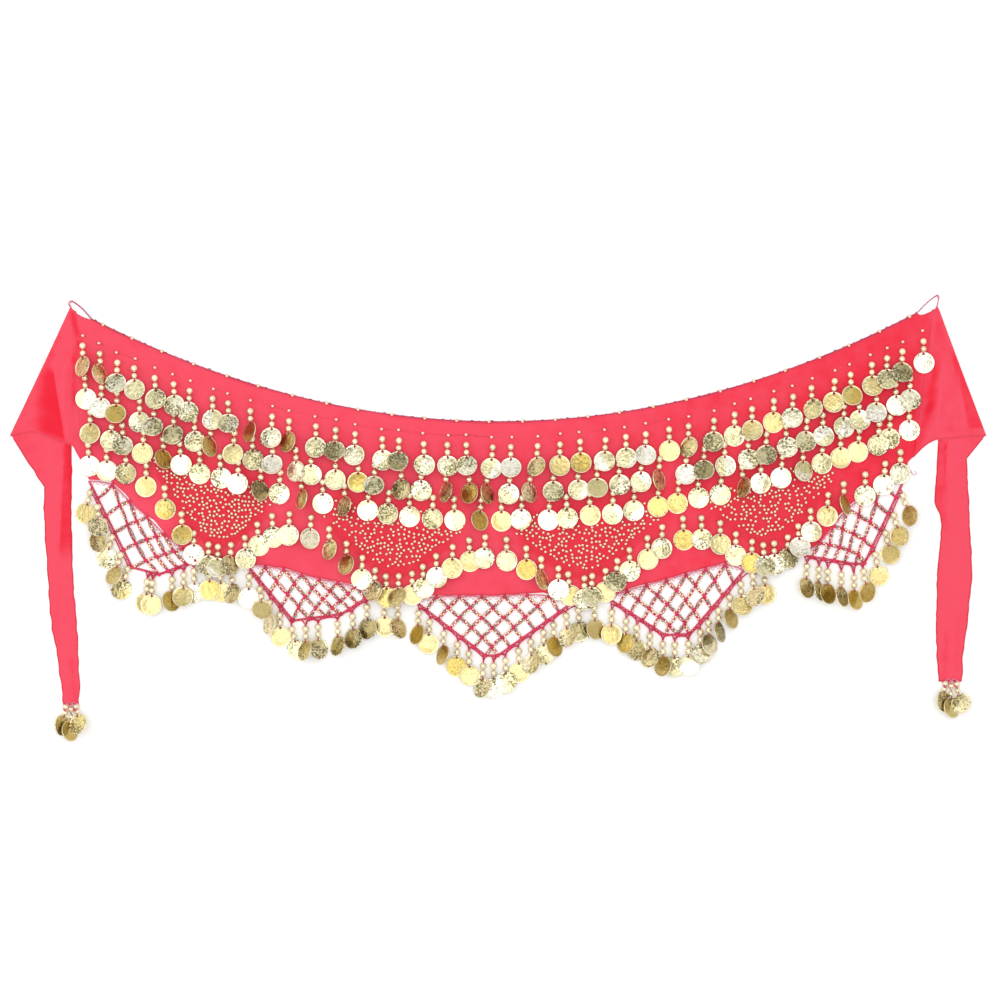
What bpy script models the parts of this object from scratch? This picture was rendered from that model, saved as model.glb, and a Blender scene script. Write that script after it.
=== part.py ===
"""A belly dance hip scarf laid flat: a curved cloth belt with two folded ties, a crochet
edging, five crochet nets, rows of coin drops and a coin fringe.

X runs along the belt, Y runs from the hem to the waist edge and Z is up from the surface
that the scarf lies on. Lengths are in millimetres until a mesh is made.
"""

import math
from collections import namedtuple

import bmesh
import bpy

MM = 0.001

# Cloth and gaps.
CLOTH = 1.0
SEAM_GAP = 0.3
WAIST_LOW = 88.0
WAIST_RISE = 105.0
WAIST_HALF = 390.0
PANEL_ROWS = (0.0, 0.1, 0.22, 0.38, 0.55, 0.72, 0.88, 1.0)
PANEL_COLUMN_MAX = 21.0
PANEL_COLUMN_END = 7.0
PANEL_MIDDLE = 345.0
SIDE_FADE = 12

# Crochet edging along the waist.
EDGING_WIDTH = 2.2
EDGING_THICK = 1.2
EDGING_STEP = 16.0
EDGING_LIFT = 0.1
EDGING_FIRST = -361.0
EDGING_LAST = 371.0
# Slack corner loops of the edging as x and y, from the left end to the right end.
LEFT_LOOP = ((-386.8, 191.6), (-387.6, 194.0), (-383.4, 196.6), (-368.0, 184.6))
RIGHT_LOOP = ((377.0, 188.4), (394.2, 200.9), (396.4, 199.4), (395.4, 191.2))

# Crochet nets.
NET_THREAD = 2.0
NET_CHAIN = 2.6
NET_THICK = 1.2
NET_LIFT = 0.1
NET_HEM_OFFSET = 1.7
MITRE_LIMIT = 1.2

# Coin drops: a strand of two beads with a coin at its end.
COIN_RADIUS = 9.5
COIN_CORNERS = 8
DROP_LENGTH = 21.0
DROP_THICK = 0.9
STRAND_WIDTH = 3.0
STRIP_WIDTH = 1.8
STRIP_END = 1.2
STRIP_FLAT = 1.5
STRIP_BEND = 0.06
BEND_SPARE = 4.2
PATH_SPARE = 4.8
DROP_SPARE = 0.25
COIN_TURNS = (1.0, 0.9, 0.8, 0.7, 0.6, 0.5)
CLOTH_SLOPES = (0.09, 0.2, 0.14, 0.25, 0.3)
FRINGE_LIFT = 0.3
FRINGE_GAP = 0.4
FRINGE_HEM_STEP = 5.0
FRINGE_TIP_STEP = 2.0
FRINGE_SLOPES = (0.03, 0.13, 0.08, 0.18, 0.24)

# Rows of drops on the cloth: first and last root, how many drops there are, and how far
# the roots lie below the waist edge at the middle and at the ends.
Row = namedtuple("Row", "name x_first x_last drops below_middle below_end")
ROWS = (
    Row("coin_row_1", -373.3, 380.4, 42, 20.9, 27.6),
    Row("coin_row_2", -370.0, 371.6, 42, 44.7, 55.5),
    Row("coin_row_3", -365.3, 370.0, 41, 68.1, 83.4),
)
ROW_LENGTHS = 6
ROW_CROWDING = 0.1
ROW_SWAY = 1.6
ROW_SWAY_TURN = 2.4

# The wavy row follows the lower edges of the beaded fans. Each line gives a ridge between
# two fans, how far it lies below the waist edge, and the depth of the fan to its right.
Ridge = namedtuple("Ridge", "x below fan_depth")
RIDGES = (
    Ridge(-372.0, 114.0, 0.0),
    Ridge(-334.0, 104.0, 52.0),
    Ridge(-180.0, 105.0, 40.0),
    Ridge(-10.0, 103.0, 39.0),
    Ridge(169.0, 105.0, 38.0),
    Ridge(322.0, 121.0, 0.0),
    Ridge(362.0, 117.0, 0.0),
)
FAN_ROUNDNESS = 1.3
WAVE_PITCH_RIDGE = 17.6
WAVE_PITCH_FAN = 10.5
WAVE_CROWDING = 0.7
WAVE_LENGTHS = 8
WAVE_LAST = 361.5

# Lower edge of the cloth as x and y, from its left corner to its right corner.
HEM = (
    (-368.4, 35.9),
    (-348.5, 34.6),
    (-335.1, 22.9),
    (-325.2, 9.8),
    (-309.0, -1.0),
    (-295.5, -18.1),
    (-277.5, -29.8),
    (-241.5, -37.0),
    (-223.5, -39.7),
    (-191.1, -44.2),
    (-168.6, -51.4),
    (-130.8, -58.6),
    (-106.5, -67.6),
    (-76.8, -72.5),
    (-67.8, -68.5),
    (-3.0, -68.5),
    (41.1, -65.8),
    (66.3, -74.8),
    (96.0, -70.3),
    (126.6, -59.5),
    (150.0, -54.1),
    (170.7, -47.8),
    (208.5, -37.9),
    (222.0, -44.5),
    (253.5, -37.0),
    (273.0, -30.7),
    (285.0, -23.5),
    (296.0, -13.6),
    (303.0, 0.8),
    (317.5, 14.3),
    (331.0, 23.3),
    (344.5, 34.9),
    (365.1, 35.9),
)

# Side edges of the cloth as y and x, from the waist down to the hem.
LEFT_SIDE = ((187.0, -380.3), (53.9, -375.6), (35.9, -368.4))
RIGHT_SIDE = ((189.0, 391.0), (56.6, 374.1), (52.1, 368.7), (35.9, 365.1))

# Where the waist edge sags below the slack edging: two places and the depth between them.
Sag = namedtuple("Sag", "x_low x_high depth")
CORNER_SAGS = (Sag(-381.0, -366.0, 1.8), Sag(372.0, 392.0, 4.2))

# Soft creases in the cloth: where each starts and ends, its width and its height.
Crease = namedtuple("Crease", "x_start y_start x_end y_end width height")
CREASES = (
    Crease(-374.0, 180.0, -340.0, 152.0, 9.0, 0.7),
    Crease(-335.0, 160.0, -238.0, 119.0, 8.0, 0.5),
    Crease(-215.0, 112.0, -60.0, 83.0, 8.0, 0.6),
    Crease(20.0, 81.0, 178.0, 101.0, 8.0, 0.5),
    Crease(205.0, 110.0, 318.0, 149.0, 8.0, 0.6),
    Crease(384.0, 180.0, 345.0, 158.0, 9.0, 0.7),
    Crease(-52.0, -52.0, 38.0, -50.0, 12.0, 0.6),
    Crease(112.0, -48.0, 168.0, -33.0, 12.0, 0.6),
)

# Nets: the stretch of hem that each hangs from, the two ends of its lower tip, how many
# meshes run along the hem and how many rows of knots it is deep.
Net = namedtuple("Net", "x_left x_right tip_left tip_right meshes depth")
NETS = (
    Net(-368.0, -264.0, (-329.5, -43.5), (-305.0, -50.0), 6, 5),
    Net(-226.0, -112.0, (-184.5, -91.5), (-141.0, -85.5), 7, 4),
    Net(-76.0, 66.0, (-11.5, -123.0), (-0.5, -123.0), 7, 6),
    Net(98.0, 222.0, (150.0, -104.5), (172.0, -103.6), 7, 5),
    Net(272.0, 364.6, (321.5, -40.6), (329.5, -39.8), 6, 5),
)

# Fringe: the side of the net that each length hangs from, the drops on it, the lean from
# straight down (positive to the right) and the length of the first and last drop, and how
# far the drops carry on along the hem past the net's corner.
Fringe = namedtuple(
    "Fringe", "net side drops lean_first lean_last long_first long_last hem_to_x"
)
FRINGES = (
    Fringe(1, "left", 6, -13.0, -17.0, 21.0, 21.0, None),
    Fringe(1, "right", 8, -4.0, 3.0, 26.0, 26.0, -234.0),
    Fringe(2, "left", 5, -2.0, 4.0, 23.0, 26.0, None),
    Fringe(2, "right", 7, 0.0, 4.0, 26.0, 24.0, -84.0),
    Fringe(3, "left", 6, -3.0, -2.0, 24.0, 27.0, None),
    Fringe(3, "right", 9, 1.0, 3.0, 26.0, 23.0, 90.0),
    Fringe(4, "left", 5, -1.0, 0.0, 27.0, 26.0, None),
    Fringe(4, "right", 9, 0.0, 3.0, 26.0, 23.0, 246.0),
    Fringe(5, "left", 5, -3.0, 1.0, 26.0, 30.0, None),
    Fringe(5, "right", 5, 8.0, 16.0, 24.0, 23.0, None),
)

# Ties. The flap folds under along the line from its corner to its elbow, and the strap
# hangs from the layer behind. The flap's shape is its ridges: a share of the way across
# the flap and a height there. Its lip is where it drops to the layer behind, as shares of
# the way from the strap's inner edge to the seam, and the seam shares lead from there to
# the seam. Its hem sway is a share of the way across and a rise.
FLAP_ROWS = 9
FOLD_RADIUS = 0.8
FOLD_ANGLES = (-90.0, -30.0, 30.0, 90.0)
LIP_SHARES = (0.15, 0.3)
SEAM_SHARES = (0.62, 0.8, 1.0)
STRAP_PARTS = 3
FLAP_SHAPE = ((0.2, 0.0), (0.4, 0.2), (0.55, 1.1), (0.7, 0.2), (0.85, 0.9), (1.0, 0.0))
Strap = namedtuple("Strap", "y x_outer x_inner")
TieCoin = namedtuple("TieCoin", "x_root lean half_width length")
LEFT_TIE = {
    "corner": (-386.2, 188.6),
    "elbow": (-438.6, 75.2),
    "inner_top": (-383.6, 187.4),
    "seam_top": (-380.6, 187.0),
    "seam_foot": (-375.9, 53.9),
    "hem_sway": ((0.0, 0.0), (0.34, 6.2), (0.5, 2.9), (0.77, -1.4), (0.86, -3.0), (1.0, 0.0)),
    "strap": (
        Strap(75.2, -438.6, -384.4),
        Strap(52.0, -423.6, -384.3),
        Strap(28.9, -408.7, -384.0),
        Strap(-13.6, -407.5, -384.3),
        Strap(-61.3, -404.3, -382.3),
        Strap(-93.7, -401.9, -379.4),
        Strap(-119.3, -397.1, -378.3),
        Strap(-149.9, -393.0, -377.0),
        Strap(-167.0, -390.6, -377.6),
    ),
    "coins": (
        TieCoin(-388.6, -8.0, 5.4, 17.5),
        TieCoin(-384.0, 0.0, 6.0, 22.5),
        TieCoin(-379.6, 8.0, 5.4, 16.5),
    ),
}
RIGHT_TIE = {
    "corner": (397.0, 187.8),
    "elbow": (438.6, 75.2),
    "inner_top": (394.6, 187.2),
    "seam_top": (391.3, 187.0),
    "seam_foot": (374.4, 56.6),
    "hem_sway": ((0.0, 0.0), (0.36, 1.2), (0.65, 1.0), (0.82, 2.9), (0.93, 2.2), (1.0, 0.0)),
    "strap": (
        Strap(75.2, 438.6, 396.5),
        Strap(54.5, 421.3, 395.2),
        Strap(15.2, 422.7, 393.0),
        Strap(-5.9, 423.5, 399.0),
        Strap(-42.0, 426.0, 395.6),
        Strap(-77.5, 423.7, 394.6),
        Strap(-104.5, 420.5, 394.3),
        Strap(-125.7, 417.3, 395.2),
        Strap(-146.0, 417.3, 396.5),
    ),
    "coins": (
        TieCoin(402.0, -10.0, 7.4, 17.0),
        TieCoin(407.0, 0.0, 8.0, 22.5),
        TieCoin(412.0, 8.0, 7.4, 19.0),
    ),
}


# ------------------------------------------------------------------ small helpers


def mix(start, end, share):
    return start + (end - start) * share


def mix_point(start, end, share):
    return (mix(start[0], end[0], share), mix(start[1], end[1], share))


def look_up(table, key):
    """Straight-line reading of a two-column table whose first column rises or falls."""
    if table[0][0] > table[-1][0]:
        table = table[::-1]
    if key <= table[0][0]:
        return table[0][1]
    for (key_low, low), (key_high, high) in zip(table, table[1:]):
        if key <= key_high:
            return mix(low, high, (key - key_low) / (key_high - key_low))
    return table[-1][1]


def path_length(path):
    return sum(math.dist(a, b) for a, b in zip(path, path[1:]))


def point_along(path, distance):
    """Point and unit direction at a distance along a path."""
    for a, b in zip(path, path[1:]):
        step = math.dist(a, b)
        if distance <= step or b is path[-1]:
            direction = ((b[0] - a[0]) / step, (b[1] - a[1]) / step)
            return (a[0] + direction[0] * distance, a[1] + direction[1] * distance), direction
        distance -= step


def right_of(direction):
    return (direction[1], -direction[0])


def offset_path(path, distance):
    """The path moved to its right by a distance, with mitred corners."""
    sides = []
    for a, b in zip(path, path[1:]):
        step = math.dist(a, b)
        sides.append(right_of(((b[0] - a[0]) / step, (b[1] - a[1]) / step)))
    sides = [sides[0]] + sides + [sides[-1]]
    result = []
    for point, before, after in zip(path, sides, sides[1:]):
        reach = distance / (1.0 + dot(before, after))
        result.append(moved(point, (before[0] + after[0], before[1] + after[1]), reach))
    return result


def moved(point, direction, distance):
    return (point[0] + direction[0] * distance, point[1] + direction[1] * distance)


def dot(a, b):
    return a[0] * b[0] + a[1] * b[1]


def cross(a, b):
    return a[0] * b[1] - a[1] * b[0]


# ------------------------------------------------------------------ materials


def make_material(name, colour, roughness, metallic):
    material = bpy.data.materials.new(name)
    material.use_nodes = True
    shader = material.node_tree.nodes["Principled BSDF"]
    shader.inputs["Base Color"].default_value = (*colour, 1.0)
    shader.inputs["Roughness"].default_value = roughness
    shader.inputs["Metallic"].default_value = metallic
    return material


# ------------------------------------------------------------------ solids


def add_object(name, vertices, faces, material):
    mesh = bpy.data.meshes.new(name)
    mesh.from_pydata([(x * MM, y * MM, z * MM) for x, y, z in vertices], [], faces)
    mesh.materials.append(material)
    item = bpy.data.objects.new(name, mesh)
    bpy.context.scene.collection.objects.link(item)
    return item


def triangulate(item):
    shape = bmesh.new()
    shape.from_mesh(item.data)
    bmesh.ops.triangulate(shape, faces=shape.faces[:])
    shape.to_mesh(item.data)
    shape.free()


def add_slab(name, material, points, faces):
    """Closed solid over flat faces that run anticlockwise from above.

    A point is x, y, lower height and upper height. Edges used by one face get a wall.
    """
    count = len(points)
    vertices = [(x, y, high) for x, y, low, high in points]
    vertices += [(x, y, low) for x, y, low, high in points]
    edges = {(a, b) for face in faces for a, b in zip(face, face[1:] + face[:1])}
    walls = [(b, a, a + count, b + count) for a, b in sorted(edges) if (b, a) not in edges]
    under = [tuple(index + count for index in reversed(face)) for face in faces]
    item = add_object(name, vertices, list(faces) + under + walls, material)
    triangulate(item)
    return item


# ------------------------------------------------------------------ main panel


def waist_y(x, inset=0.0):
    """Waist edge of the whole belt, or a line set in from it by an inset."""
    slope = 2 * WAIST_RISE * x / WAIST_HALF**2
    return WAIST_LOW + WAIST_RISE * (x / WAIST_HALF) ** 2 - inset * math.hypot(1.0, slope)


def hem_y(x):
    return look_up(HEM, x)


def crease_height(x, y):
    """How far the creases lift the cloth's face at a point."""
    height = 0.0
    for crease in CREASES:
        along = (crease.x_end - crease.x_start, crease.y_end - crease.y_start)
        step = (x - crease.x_start, y - crease.y_start)
        length = math.hypot(*along)
        share = dot(step, along) / length**2
        away = abs(cross(step, along)) / length
        if 0.0 < share < 1.0 and away < crease.width:
            across = math.cos(0.5 * math.pi * away / crease.width) ** 2
            height += crease.height * math.sin(math.pi * share) * across
    return height


def cloth_top(x, y):
    return CLOTH + crease_height(x, y)


def panel_column_xs():
    """X of each column at the hem: the hem's own corners, with long spans divided."""
    xs = [HEM[0][0]]
    for (x_low, _), (x_high, _) in zip(HEM, HEM[1:]):
        widest = PANEL_COLUMN_MAX if abs(x_low + x_high) / 2 < PANEL_MIDDLE else PANEL_COLUMN_END
        parts = math.ceil((x_high - x_low) / widest)
        xs += [mix(x_low, x_high, part / parts) for part in range(1, parts + 1)]
    return xs


def side_bow(side, row):
    """How far a side edge bows from the straight line between its two ends."""
    (y_waist, x_waist), (y_hem, x_hem) = side[0], side[-1]
    return look_up(side, mix(y_waist, y_hem, row)) - mix(x_waist, x_hem, row)


def corner_sag(x):
    """How far the waist edge sags where the edging has come away near a corner."""
    for sag in CORNER_SAGS:
        if sag.x_low < x < sag.x_high:
            return sag.depth * math.sin(math.pi * (x - sag.x_low) / (sag.x_high - sag.x_low))
    return 0.0


def build_main_panel(material):
    columns = panel_column_xs()
    inset = EDGING_WIDTH + SEAM_GAP
    points = []
    for x_hem in columns:
        share = (x_hem - HEM[0][0]) / (HEM[-1][0] - HEM[0][0])
        x_waist = mix(LEFT_SIDE[0][1], RIGHT_SIDE[0][1], share)
        y_waist = waist_y(x_waist, inset) - corner_sag(x_waist)
        for row in PANEL_ROWS:
            y = mix(y_waist, hem_y(x_hem), row)
            x = mix(x_waist, x_hem, row)
            x += (1.0 - share) ** SIDE_FADE * side_bow(LEFT_SIDE, row)
            x += share**SIDE_FADE * side_bow(RIGHT_SIDE, row)
            points.append((x, y, 0.0, cloth_top(x, y)))
    rows = len(PANEL_ROWS)
    faces = []
    for column in range(len(columns) - 1):
        for row in range(rows - 1):
            corner = column * rows + row
            faces.append((corner, corner + 1, corner + rows + 1, corner + rows))
    return add_slab("main_panel", material, points, faces)


# ------------------------------------------------------------------ ribbons and nets


def web_faces(knots, strands):
    """Flat faces of a web of threads.

    Knots are points, and strands are (knot, knot, width). Returns points and faces.
    Neighbouring threads meet at mitred corners round each knot.
    """
    around = {index: [] for index in range(len(knots))}
    for start, end, width in strands:
        around[start].append((end, width))
        around[end].append((start, width))
    points = []
    faces = []
    corner_of = {}
    for knot, links in around.items():
        centre = knots[knot]
        rays = []
        for other, width in links:
            dx = knots[other][0] - centre[0]
            dy = knots[other][1] - centre[1]
            length = math.hypot(dx, dy)
            rays.append((math.atan2(dy, dx), (dx / length, dy / length), width, other))
        rays.sort()
        if len(rays) == 1:
            _, direction, width, other = rays[0]
            side = right_of(direction)
            corner_of[knot, other, "right"] = len(points)
            points.append(moved(centre, side, width / 2))
            corner_of[knot, other, "left"] = len(points)
            points.append(moved(centre, side, -width / 2))
            continue
        ring = []
        for this, following in zip(rays, rays[1:] + rays[:1]):
            left = moved(centre, right_of(this[1]), -this[2] / 2)
            right = moved(centre, right_of(following[1]), following[2] / 2)
            turn = cross(this[1], following[1])
            if abs(turn) < 0.05:
                corner = mix_point(left, right, 0.5)
            else:
                reach = cross((right[0] - left[0], right[1] - left[1]), following[1]) / turn
                corner = moved(left, this[1], reach)
            gap = (following[0] - this[0]) % (2 * math.pi)
            longest = MITRE_LIMIT * max(this[2], following[2]) / 2
            if gap > math.pi and math.dist(centre, corner) > longest:
                corner = mix_point(centre, corner, longest / math.dist(centre, corner))
            corner_of[knot, this[3], "left"] = len(points)
            corner_of[knot, following[3], "right"] = len(points)
            ring.append(len(points))
            points.append(corner)
        if len(ring) > 2:
            faces.append(tuple(ring))
    for start, end, _ in strands:
        faces.append(
            (
                corner_of[start, end, "right"],
                corner_of[end, start, "left"],
                corner_of[end, start, "right"],
                corner_of[start, end, "left"],
            )
        )
    return points, faces


def add_web(name, material, knots, strands, low, high):
    points, faces = web_faces(knots, strands)
    return add_slab(name, material, [(x, y, low, high) for x, y in points], faces)


def hem_path(x_left, x_right, offset):
    """Hem between two places, moved out from the cloth by an offset."""
    xs = [x_left] + [x for x, _ in HEM if x_left < x < x_right] + [x_right]
    return offset_path([(x, hem_y(x)) for x in xs], offset)


def net_knot(net, across, down):
    """Knot of a net, by its place across the row and its row down from the hem."""
    top = hem_path(net.x_left, net.x_right, NET_HEM_OFFSET)
    share = across / (net.meshes - down)
    fall = down / net.depth
    on_hem, _ = point_along(top, share * path_length(top))
    straight = mix_point(top[0], top[-1], share)
    left = mix_point(top[0], net.tip_left, fall)
    right = mix_point(top[-1], net.tip_right, fall)
    x, y = mix_point(left, right, share)
    bend = (1.0 - fall) ** 2
    return (x + bend * (on_hem[0] - straight[0]), y + bend * (on_hem[1] - straight[1]))


def build_net(name, material, net):
    number = {}
    knots = []
    for down in range(net.depth + 1):
        for across in range(net.meshes - down + 1):
            number[across, down] = len(knots)
            knots.append(net_knot(net, across, down))
    strands = []
    for (across, down), knot in number.items():
        if down == net.depth:
            if across > 0:
                strands.append((number[across - 1, down], knot, NET_CHAIN))
            continue
        if across < net.meshes - down:
            width = NET_CHAIN if across == 0 else NET_THREAD
            strands.append((knot, number[across, down + 1], width))
        if across > 0:
            width = NET_CHAIN if across == net.meshes - down else NET_THREAD
            strands.append((knot, number[across - 1, down + 1], width))
    return add_web(name, material, knots, strands, NET_LIFT, NET_LIFT + NET_THICK)


def build_top_edging(material):
    """Crochet edging: it follows the waist and leaves a slack loop at each corner."""
    inset = EDGING_WIDTH / 2
    steps = round((EDGING_LAST - EDGING_FIRST) / EDGING_STEP)
    waist = []
    for step in range(steps + 1):
        x = mix(EDGING_FIRST, EDGING_LAST, step / steps)
        waist.append((x, waist_y(x, inset)))
    knots = [*LEFT_LOOP, *waist, *RIGHT_LOOP]
    strands = [(index, index + 1, EDGING_WIDTH) for index in range(len(knots) - 1)]
    return add_web("top_edging", material, knots, strands, EDGING_LIFT, EDGING_LIFT + EDGING_THICK)


# ------------------------------------------------------------------ coin drops


def make_drop(root, lean, length=DROP_LENGTH, half_width=COIN_RADIUS, height=0.0):
    """A drop as a record: its strand runs from the root to the coin's middle."""
    angle = math.radians(lean)
    hang = (math.sin(angle), -math.cos(angle))
    return {
        "root": root,
        "hang": hang,
        "left": (hang[1], -hang[0]),
        "length": length,
        "half_width": half_width,
        "height": height,
        "slope": 0.0,
    }


def drop_height(drop, place):
    """Mid height of a drop at a place: it rises evenly from its root to the coin's rim."""
    away = dot((place[0] - drop["root"][0], place[1] - drop["root"][1]), drop["hang"])
    return drop["height"] + drop["slope"] * max(away - STRIP_FLAT, 0.0)


def covers(drop, place, spare):
    """True where a place lies over a drop's strand or coin, with some to spare."""
    step = (place[0] - drop["root"][0], place[1] - drop["root"][1])
    along = dot(step, drop["hang"])
    across = abs(dot(step, drop["left"]))
    if -STRIP_WIDTH < along < drop["length"] and across < STRAND_WIDTH / 2 + spare:
        return True
    reach_along = (along - drop["length"]) / (COIN_RADIUS + spare)
    reach_across = across / (drop["half_width"] + spare)
    return reach_along**2 + reach_across**2 < 1.0


def sample_places(drop):
    """Places spread over a drop's strand and coin."""
    places = []
    for step in range(7):
        along = mix(-STRIP_WIDTH / 2, drop["length"] - COIN_RADIUS, step / 6)
        for side in (-1, 0, 1):
            place = moved(drop["root"], drop["hang"], along)
            places.append(moved(place, drop["left"], side * STRAND_WIDTH / 2))
    centre = moved(drop["root"], drop["hang"], drop["length"])
    for ring in (0.0, 0.5, 0.8, 1.0):
        for corner in range(16):
            turn = 2 * math.pi * corner / 16
            place = moved(centre, drop["hang"], ring * COIN_RADIUS * math.cos(turn))
            places.append(moved(place, drop["left"], ring * drop["half_width"] * math.sin(turn)))
    return places


def clear_of(drop, other):
    """True if one drop lies over or under another wherever they cross."""
    reach = drop["length"] + other["length"] + 2 * COIN_RADIUS
    if math.dist(drop["root"], other["root"]) > reach:
        return True
    needed = DROP_THICK + DROP_SPARE
    sides = set()
    for first, second in ((drop, other), (other, drop)):
        for place in sample_places(first):
            if covers(second, place, DROP_SPARE):
                lift = drop_height(drop, place) - drop_height(other, place)
                if abs(lift) < needed:
                    return False
                sides.add(lift > 0)
    return len(sides) < 2


def clear_of_strip(drop, path):
    """True if a drop's coin passes over its own strip wherever they cross."""
    for step in range(int(path_length(path) / STRIP_WIDTH)):
        place, _ = point_along(path, step * STRIP_WIDTH)
        coin_side = dot((place[0] - drop["root"][0], place[1] - drop["root"][1]), drop["hang"])
        if coin_side > 2 * STRIP_WIDTH and covers(drop, place, STRIP_WIDTH / 2 + DROP_SPARE):
            if drop_height(drop, place) - drop["height"] < DROP_THICK + DROP_SPARE:
                return False
    return True


def settle(drop, path, placed, slopes):
    """Give a drop the first slope, and if need be a narrower coin, that clears the rest."""
    full = drop["half_width"]
    for narrow in COIN_TURNS:
        drop["half_width"] = full * narrow
        for slope in slopes:
            drop["slope"] = slope
            clear = all(clear_of(drop, other) for other in placed)
            if clear and clear_of_strip(drop, path):
                placed.append(drop)
                return
    placed.append(drop)


def path_bends(path):
    """Distance along a path, place and mitre of each corner that bends."""
    bends = []
    distance = 0.0
    inner_side = offset_path(path, -STRIP_WIDTH / 2)
    outer_side = offset_path(path, STRIP_WIDTH / 2)
    for index in range(1, len(path) - 1):
        before, here, after = path[index - 1 : index + 2]
        distance += math.dist(before, here)
        turn = cross(
            ((here[0] - before[0]), (here[1] - before[1])),
            ((after[0] - here[0]), (after[1] - here[1])),
        ) / (math.dist(before, here) * math.dist(here, after))
        if abs(turn) > STRIP_BEND:
            bends.append((distance, inner_side[index], outer_side[index]))
    return bends


def off_bends(path, distance):
    """A distance along a path, moved where a drop would stand on one of its corners."""
    for bend, _, _ in path_bends(path):
        if abs(distance - bend) < BEND_SPARE:
            return bend + math.copysign(BEND_SPARE, distance - bend)
    return distance


def add_drops(name, material, path, distances, drops):
    """Coin drops fused to a narrow strip along a path, on the path's right side."""
    points = []
    faces = []
    half_strip = STRIP_WIDTH / 2

    def add_point(place, height):
        points.append((*place, height - DROP_THICK / 2, height + DROP_THICK / 2))
        return len(points) - 1

    def strip_ends(distance, height):
        place, direction = point_along(path, distance)
        side = right_of(direction)
        return [add_point(moved(place, side, reach), height) for reach in (-half_strip, half_strip)]

    def root_half_width(distance, drop):
        _, direction = point_along(path, distance)
        return STRAND_WIDTH / 2 / max(abs(cross(direction, drop["hang"])), 0.35)

    bends = path_bends(path)
    reached = distances[0] - root_half_width(distances[0], drops[0]) - STRIP_END
    inner, outer = strip_ends(reached, drops[0]["height"])
    for distance, drop in zip(distances, drops):
        root, direction = point_along(path, distance)
        side = right_of(direction)
        height = drop["height"]
        base = root_half_width(distance, drop)
        for bend, bend_inner, bend_outer in bends:
            if reached < bend < distance - base - STRIP_WIDTH:
                next_inner = add_point(bend_inner, height)
                next_outer = add_point(bend_outer, height)
                faces.append((outer, next_outer, next_inner, inner))
                inner, outer = next_inner, next_outer
        reached = distance + base + STRIP_WIDTH
        edge = moved(root, side, half_strip)
        top = add_point(moved(root, side, -half_strip), height)
        root_left = add_point(moved(edge, direction, -base), height)
        root_right = add_point(moved(edge, direction, base), height)
        faces.append((outer, root_left, top, inner))
        faces.append((root_left, root_right, top))
        centre = moved(root, drop["hang"], drop["length"])
        neck = math.asin(STRAND_WIDTH / 2 / drop["half_width"])
        rim = []
        for corner in range(COIN_CORNERS):
            turn = mix(neck, 2 * math.pi - neck, corner / (COIN_CORNERS - 1))
            place = moved(centre, drop["hang"], -COIN_RADIUS * math.cos(turn))
            place = moved(place, drop["left"], drop["half_width"] * math.sin(turn))
            rim.append(add_point(place, drop_height(drop, place)))
        faces.append((rim[0], rim[-1], root_right, root_left))
        faces.append(tuple(rim))
        inner, outer = top, root_right
    reached = distances[-1] + root_half_width(distances[-1], drops[-1]) + STRIP_END
    end_inner, end_outer = strip_ends(reached, drops[-1]["height"])
    faces.append((outer, end_outer, end_inner, inner))
    return add_slab(name, material, points, faces)


def share_out(items, parts):
    """Cut a list into nearly equal runs."""
    cuts = [round(len(items) * part / parts) for part in range(parts + 1)]
    return [items[low:high] for low, high in zip(cuts, cuts[1:])]


def add_cloth_drops(name, material, xs, y_of, lengths, placed):
    """Upright drops on the cloth at given places, in several lengths of strip."""
    for letter, run in zip("abcdefgh", share_out(xs, lengths)):
        path = [(x, y_of(x)) for x in (run[0] - PATH_SPARE, *run, run[-1] + PATH_SPARE)]
        drops = []
        distances = []
        distance = 0.0
        for before, root in zip(path, path[1:-1]):
            distance += math.dist(before, root)
            height = cloth_top(*root) + SEAM_GAP + DROP_THICK / 2
            drop = make_drop(root, 0.0, height=height)
            settle(drop, path, placed, CLOTH_SLOPES)
            drops.append(drop)
            distances.append(distance)
        add_drops(f"{name}_{letter}", material, path, distances, drops)


def row_xs(row):
    """Roots of a row: a little uneven, and closer together towards both ends."""
    xs = []
    for number in range(row.drops):
        along = mix(-1.0, 1.0, number / (row.drops - 1))
        along *= 1.0 + ROW_CROWDING * (1.0 - along**2)
        inside = 0 < number < row.drops - 1
        sway = ROW_SWAY * math.sin(number * ROW_SWAY_TURN + row.x_first) if inside else 0.0
        xs.append(mix(row.x_first, row.x_last, (1.0 + along) / 2) + sway)
    return xs


def build_coin_rows(material, placed):
    for row in ROWS:

        def y_of(x, row=row):
            return waist_y(x) - mix(row.below_middle, row.below_end, (x / WAIST_HALF) ** 2)

        add_cloth_drops(row.name, material, row_xs(row), y_of, ROW_LENGTHS, placed)


def fan_depth(x):
    """Depth below the ridges, as a share of the fan's depth and in millimetres."""
    for ridge, following in zip(RIDGES, RIDGES[1:]):
        if ridge.fan_depth and ridge.x <= x <= following.x:
            turn = 2 * math.pi * (x - ridge.x) / (following.x - ridge.x)
            share = (0.5 - 0.5 * math.cos(turn)) ** FAN_ROUNDNESS
            return share, share * ridge.fan_depth
    return 0.0, 0.0


def wave_y(x):
    below = look_up([(ridge.x, ridge.below) for ridge in RIDGES], x)
    return waist_y(x) - below - fan_depth(x)[1]


def build_wave_row(material, placed):
    xs = []
    x = RIDGES[0].x + STRAND_WIDTH
    while x < RIDGES[-1].x:
        xs.append(x)
        x += mix(WAVE_PITCH_RIDGE, WAVE_PITCH_FAN, fan_depth(x)[0] ** WAVE_CROWDING)
    xs.append(WAVE_LAST)
    add_cloth_drops("wave_row", material, xs, wave_y, WAVE_LENGTHS, placed)


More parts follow.
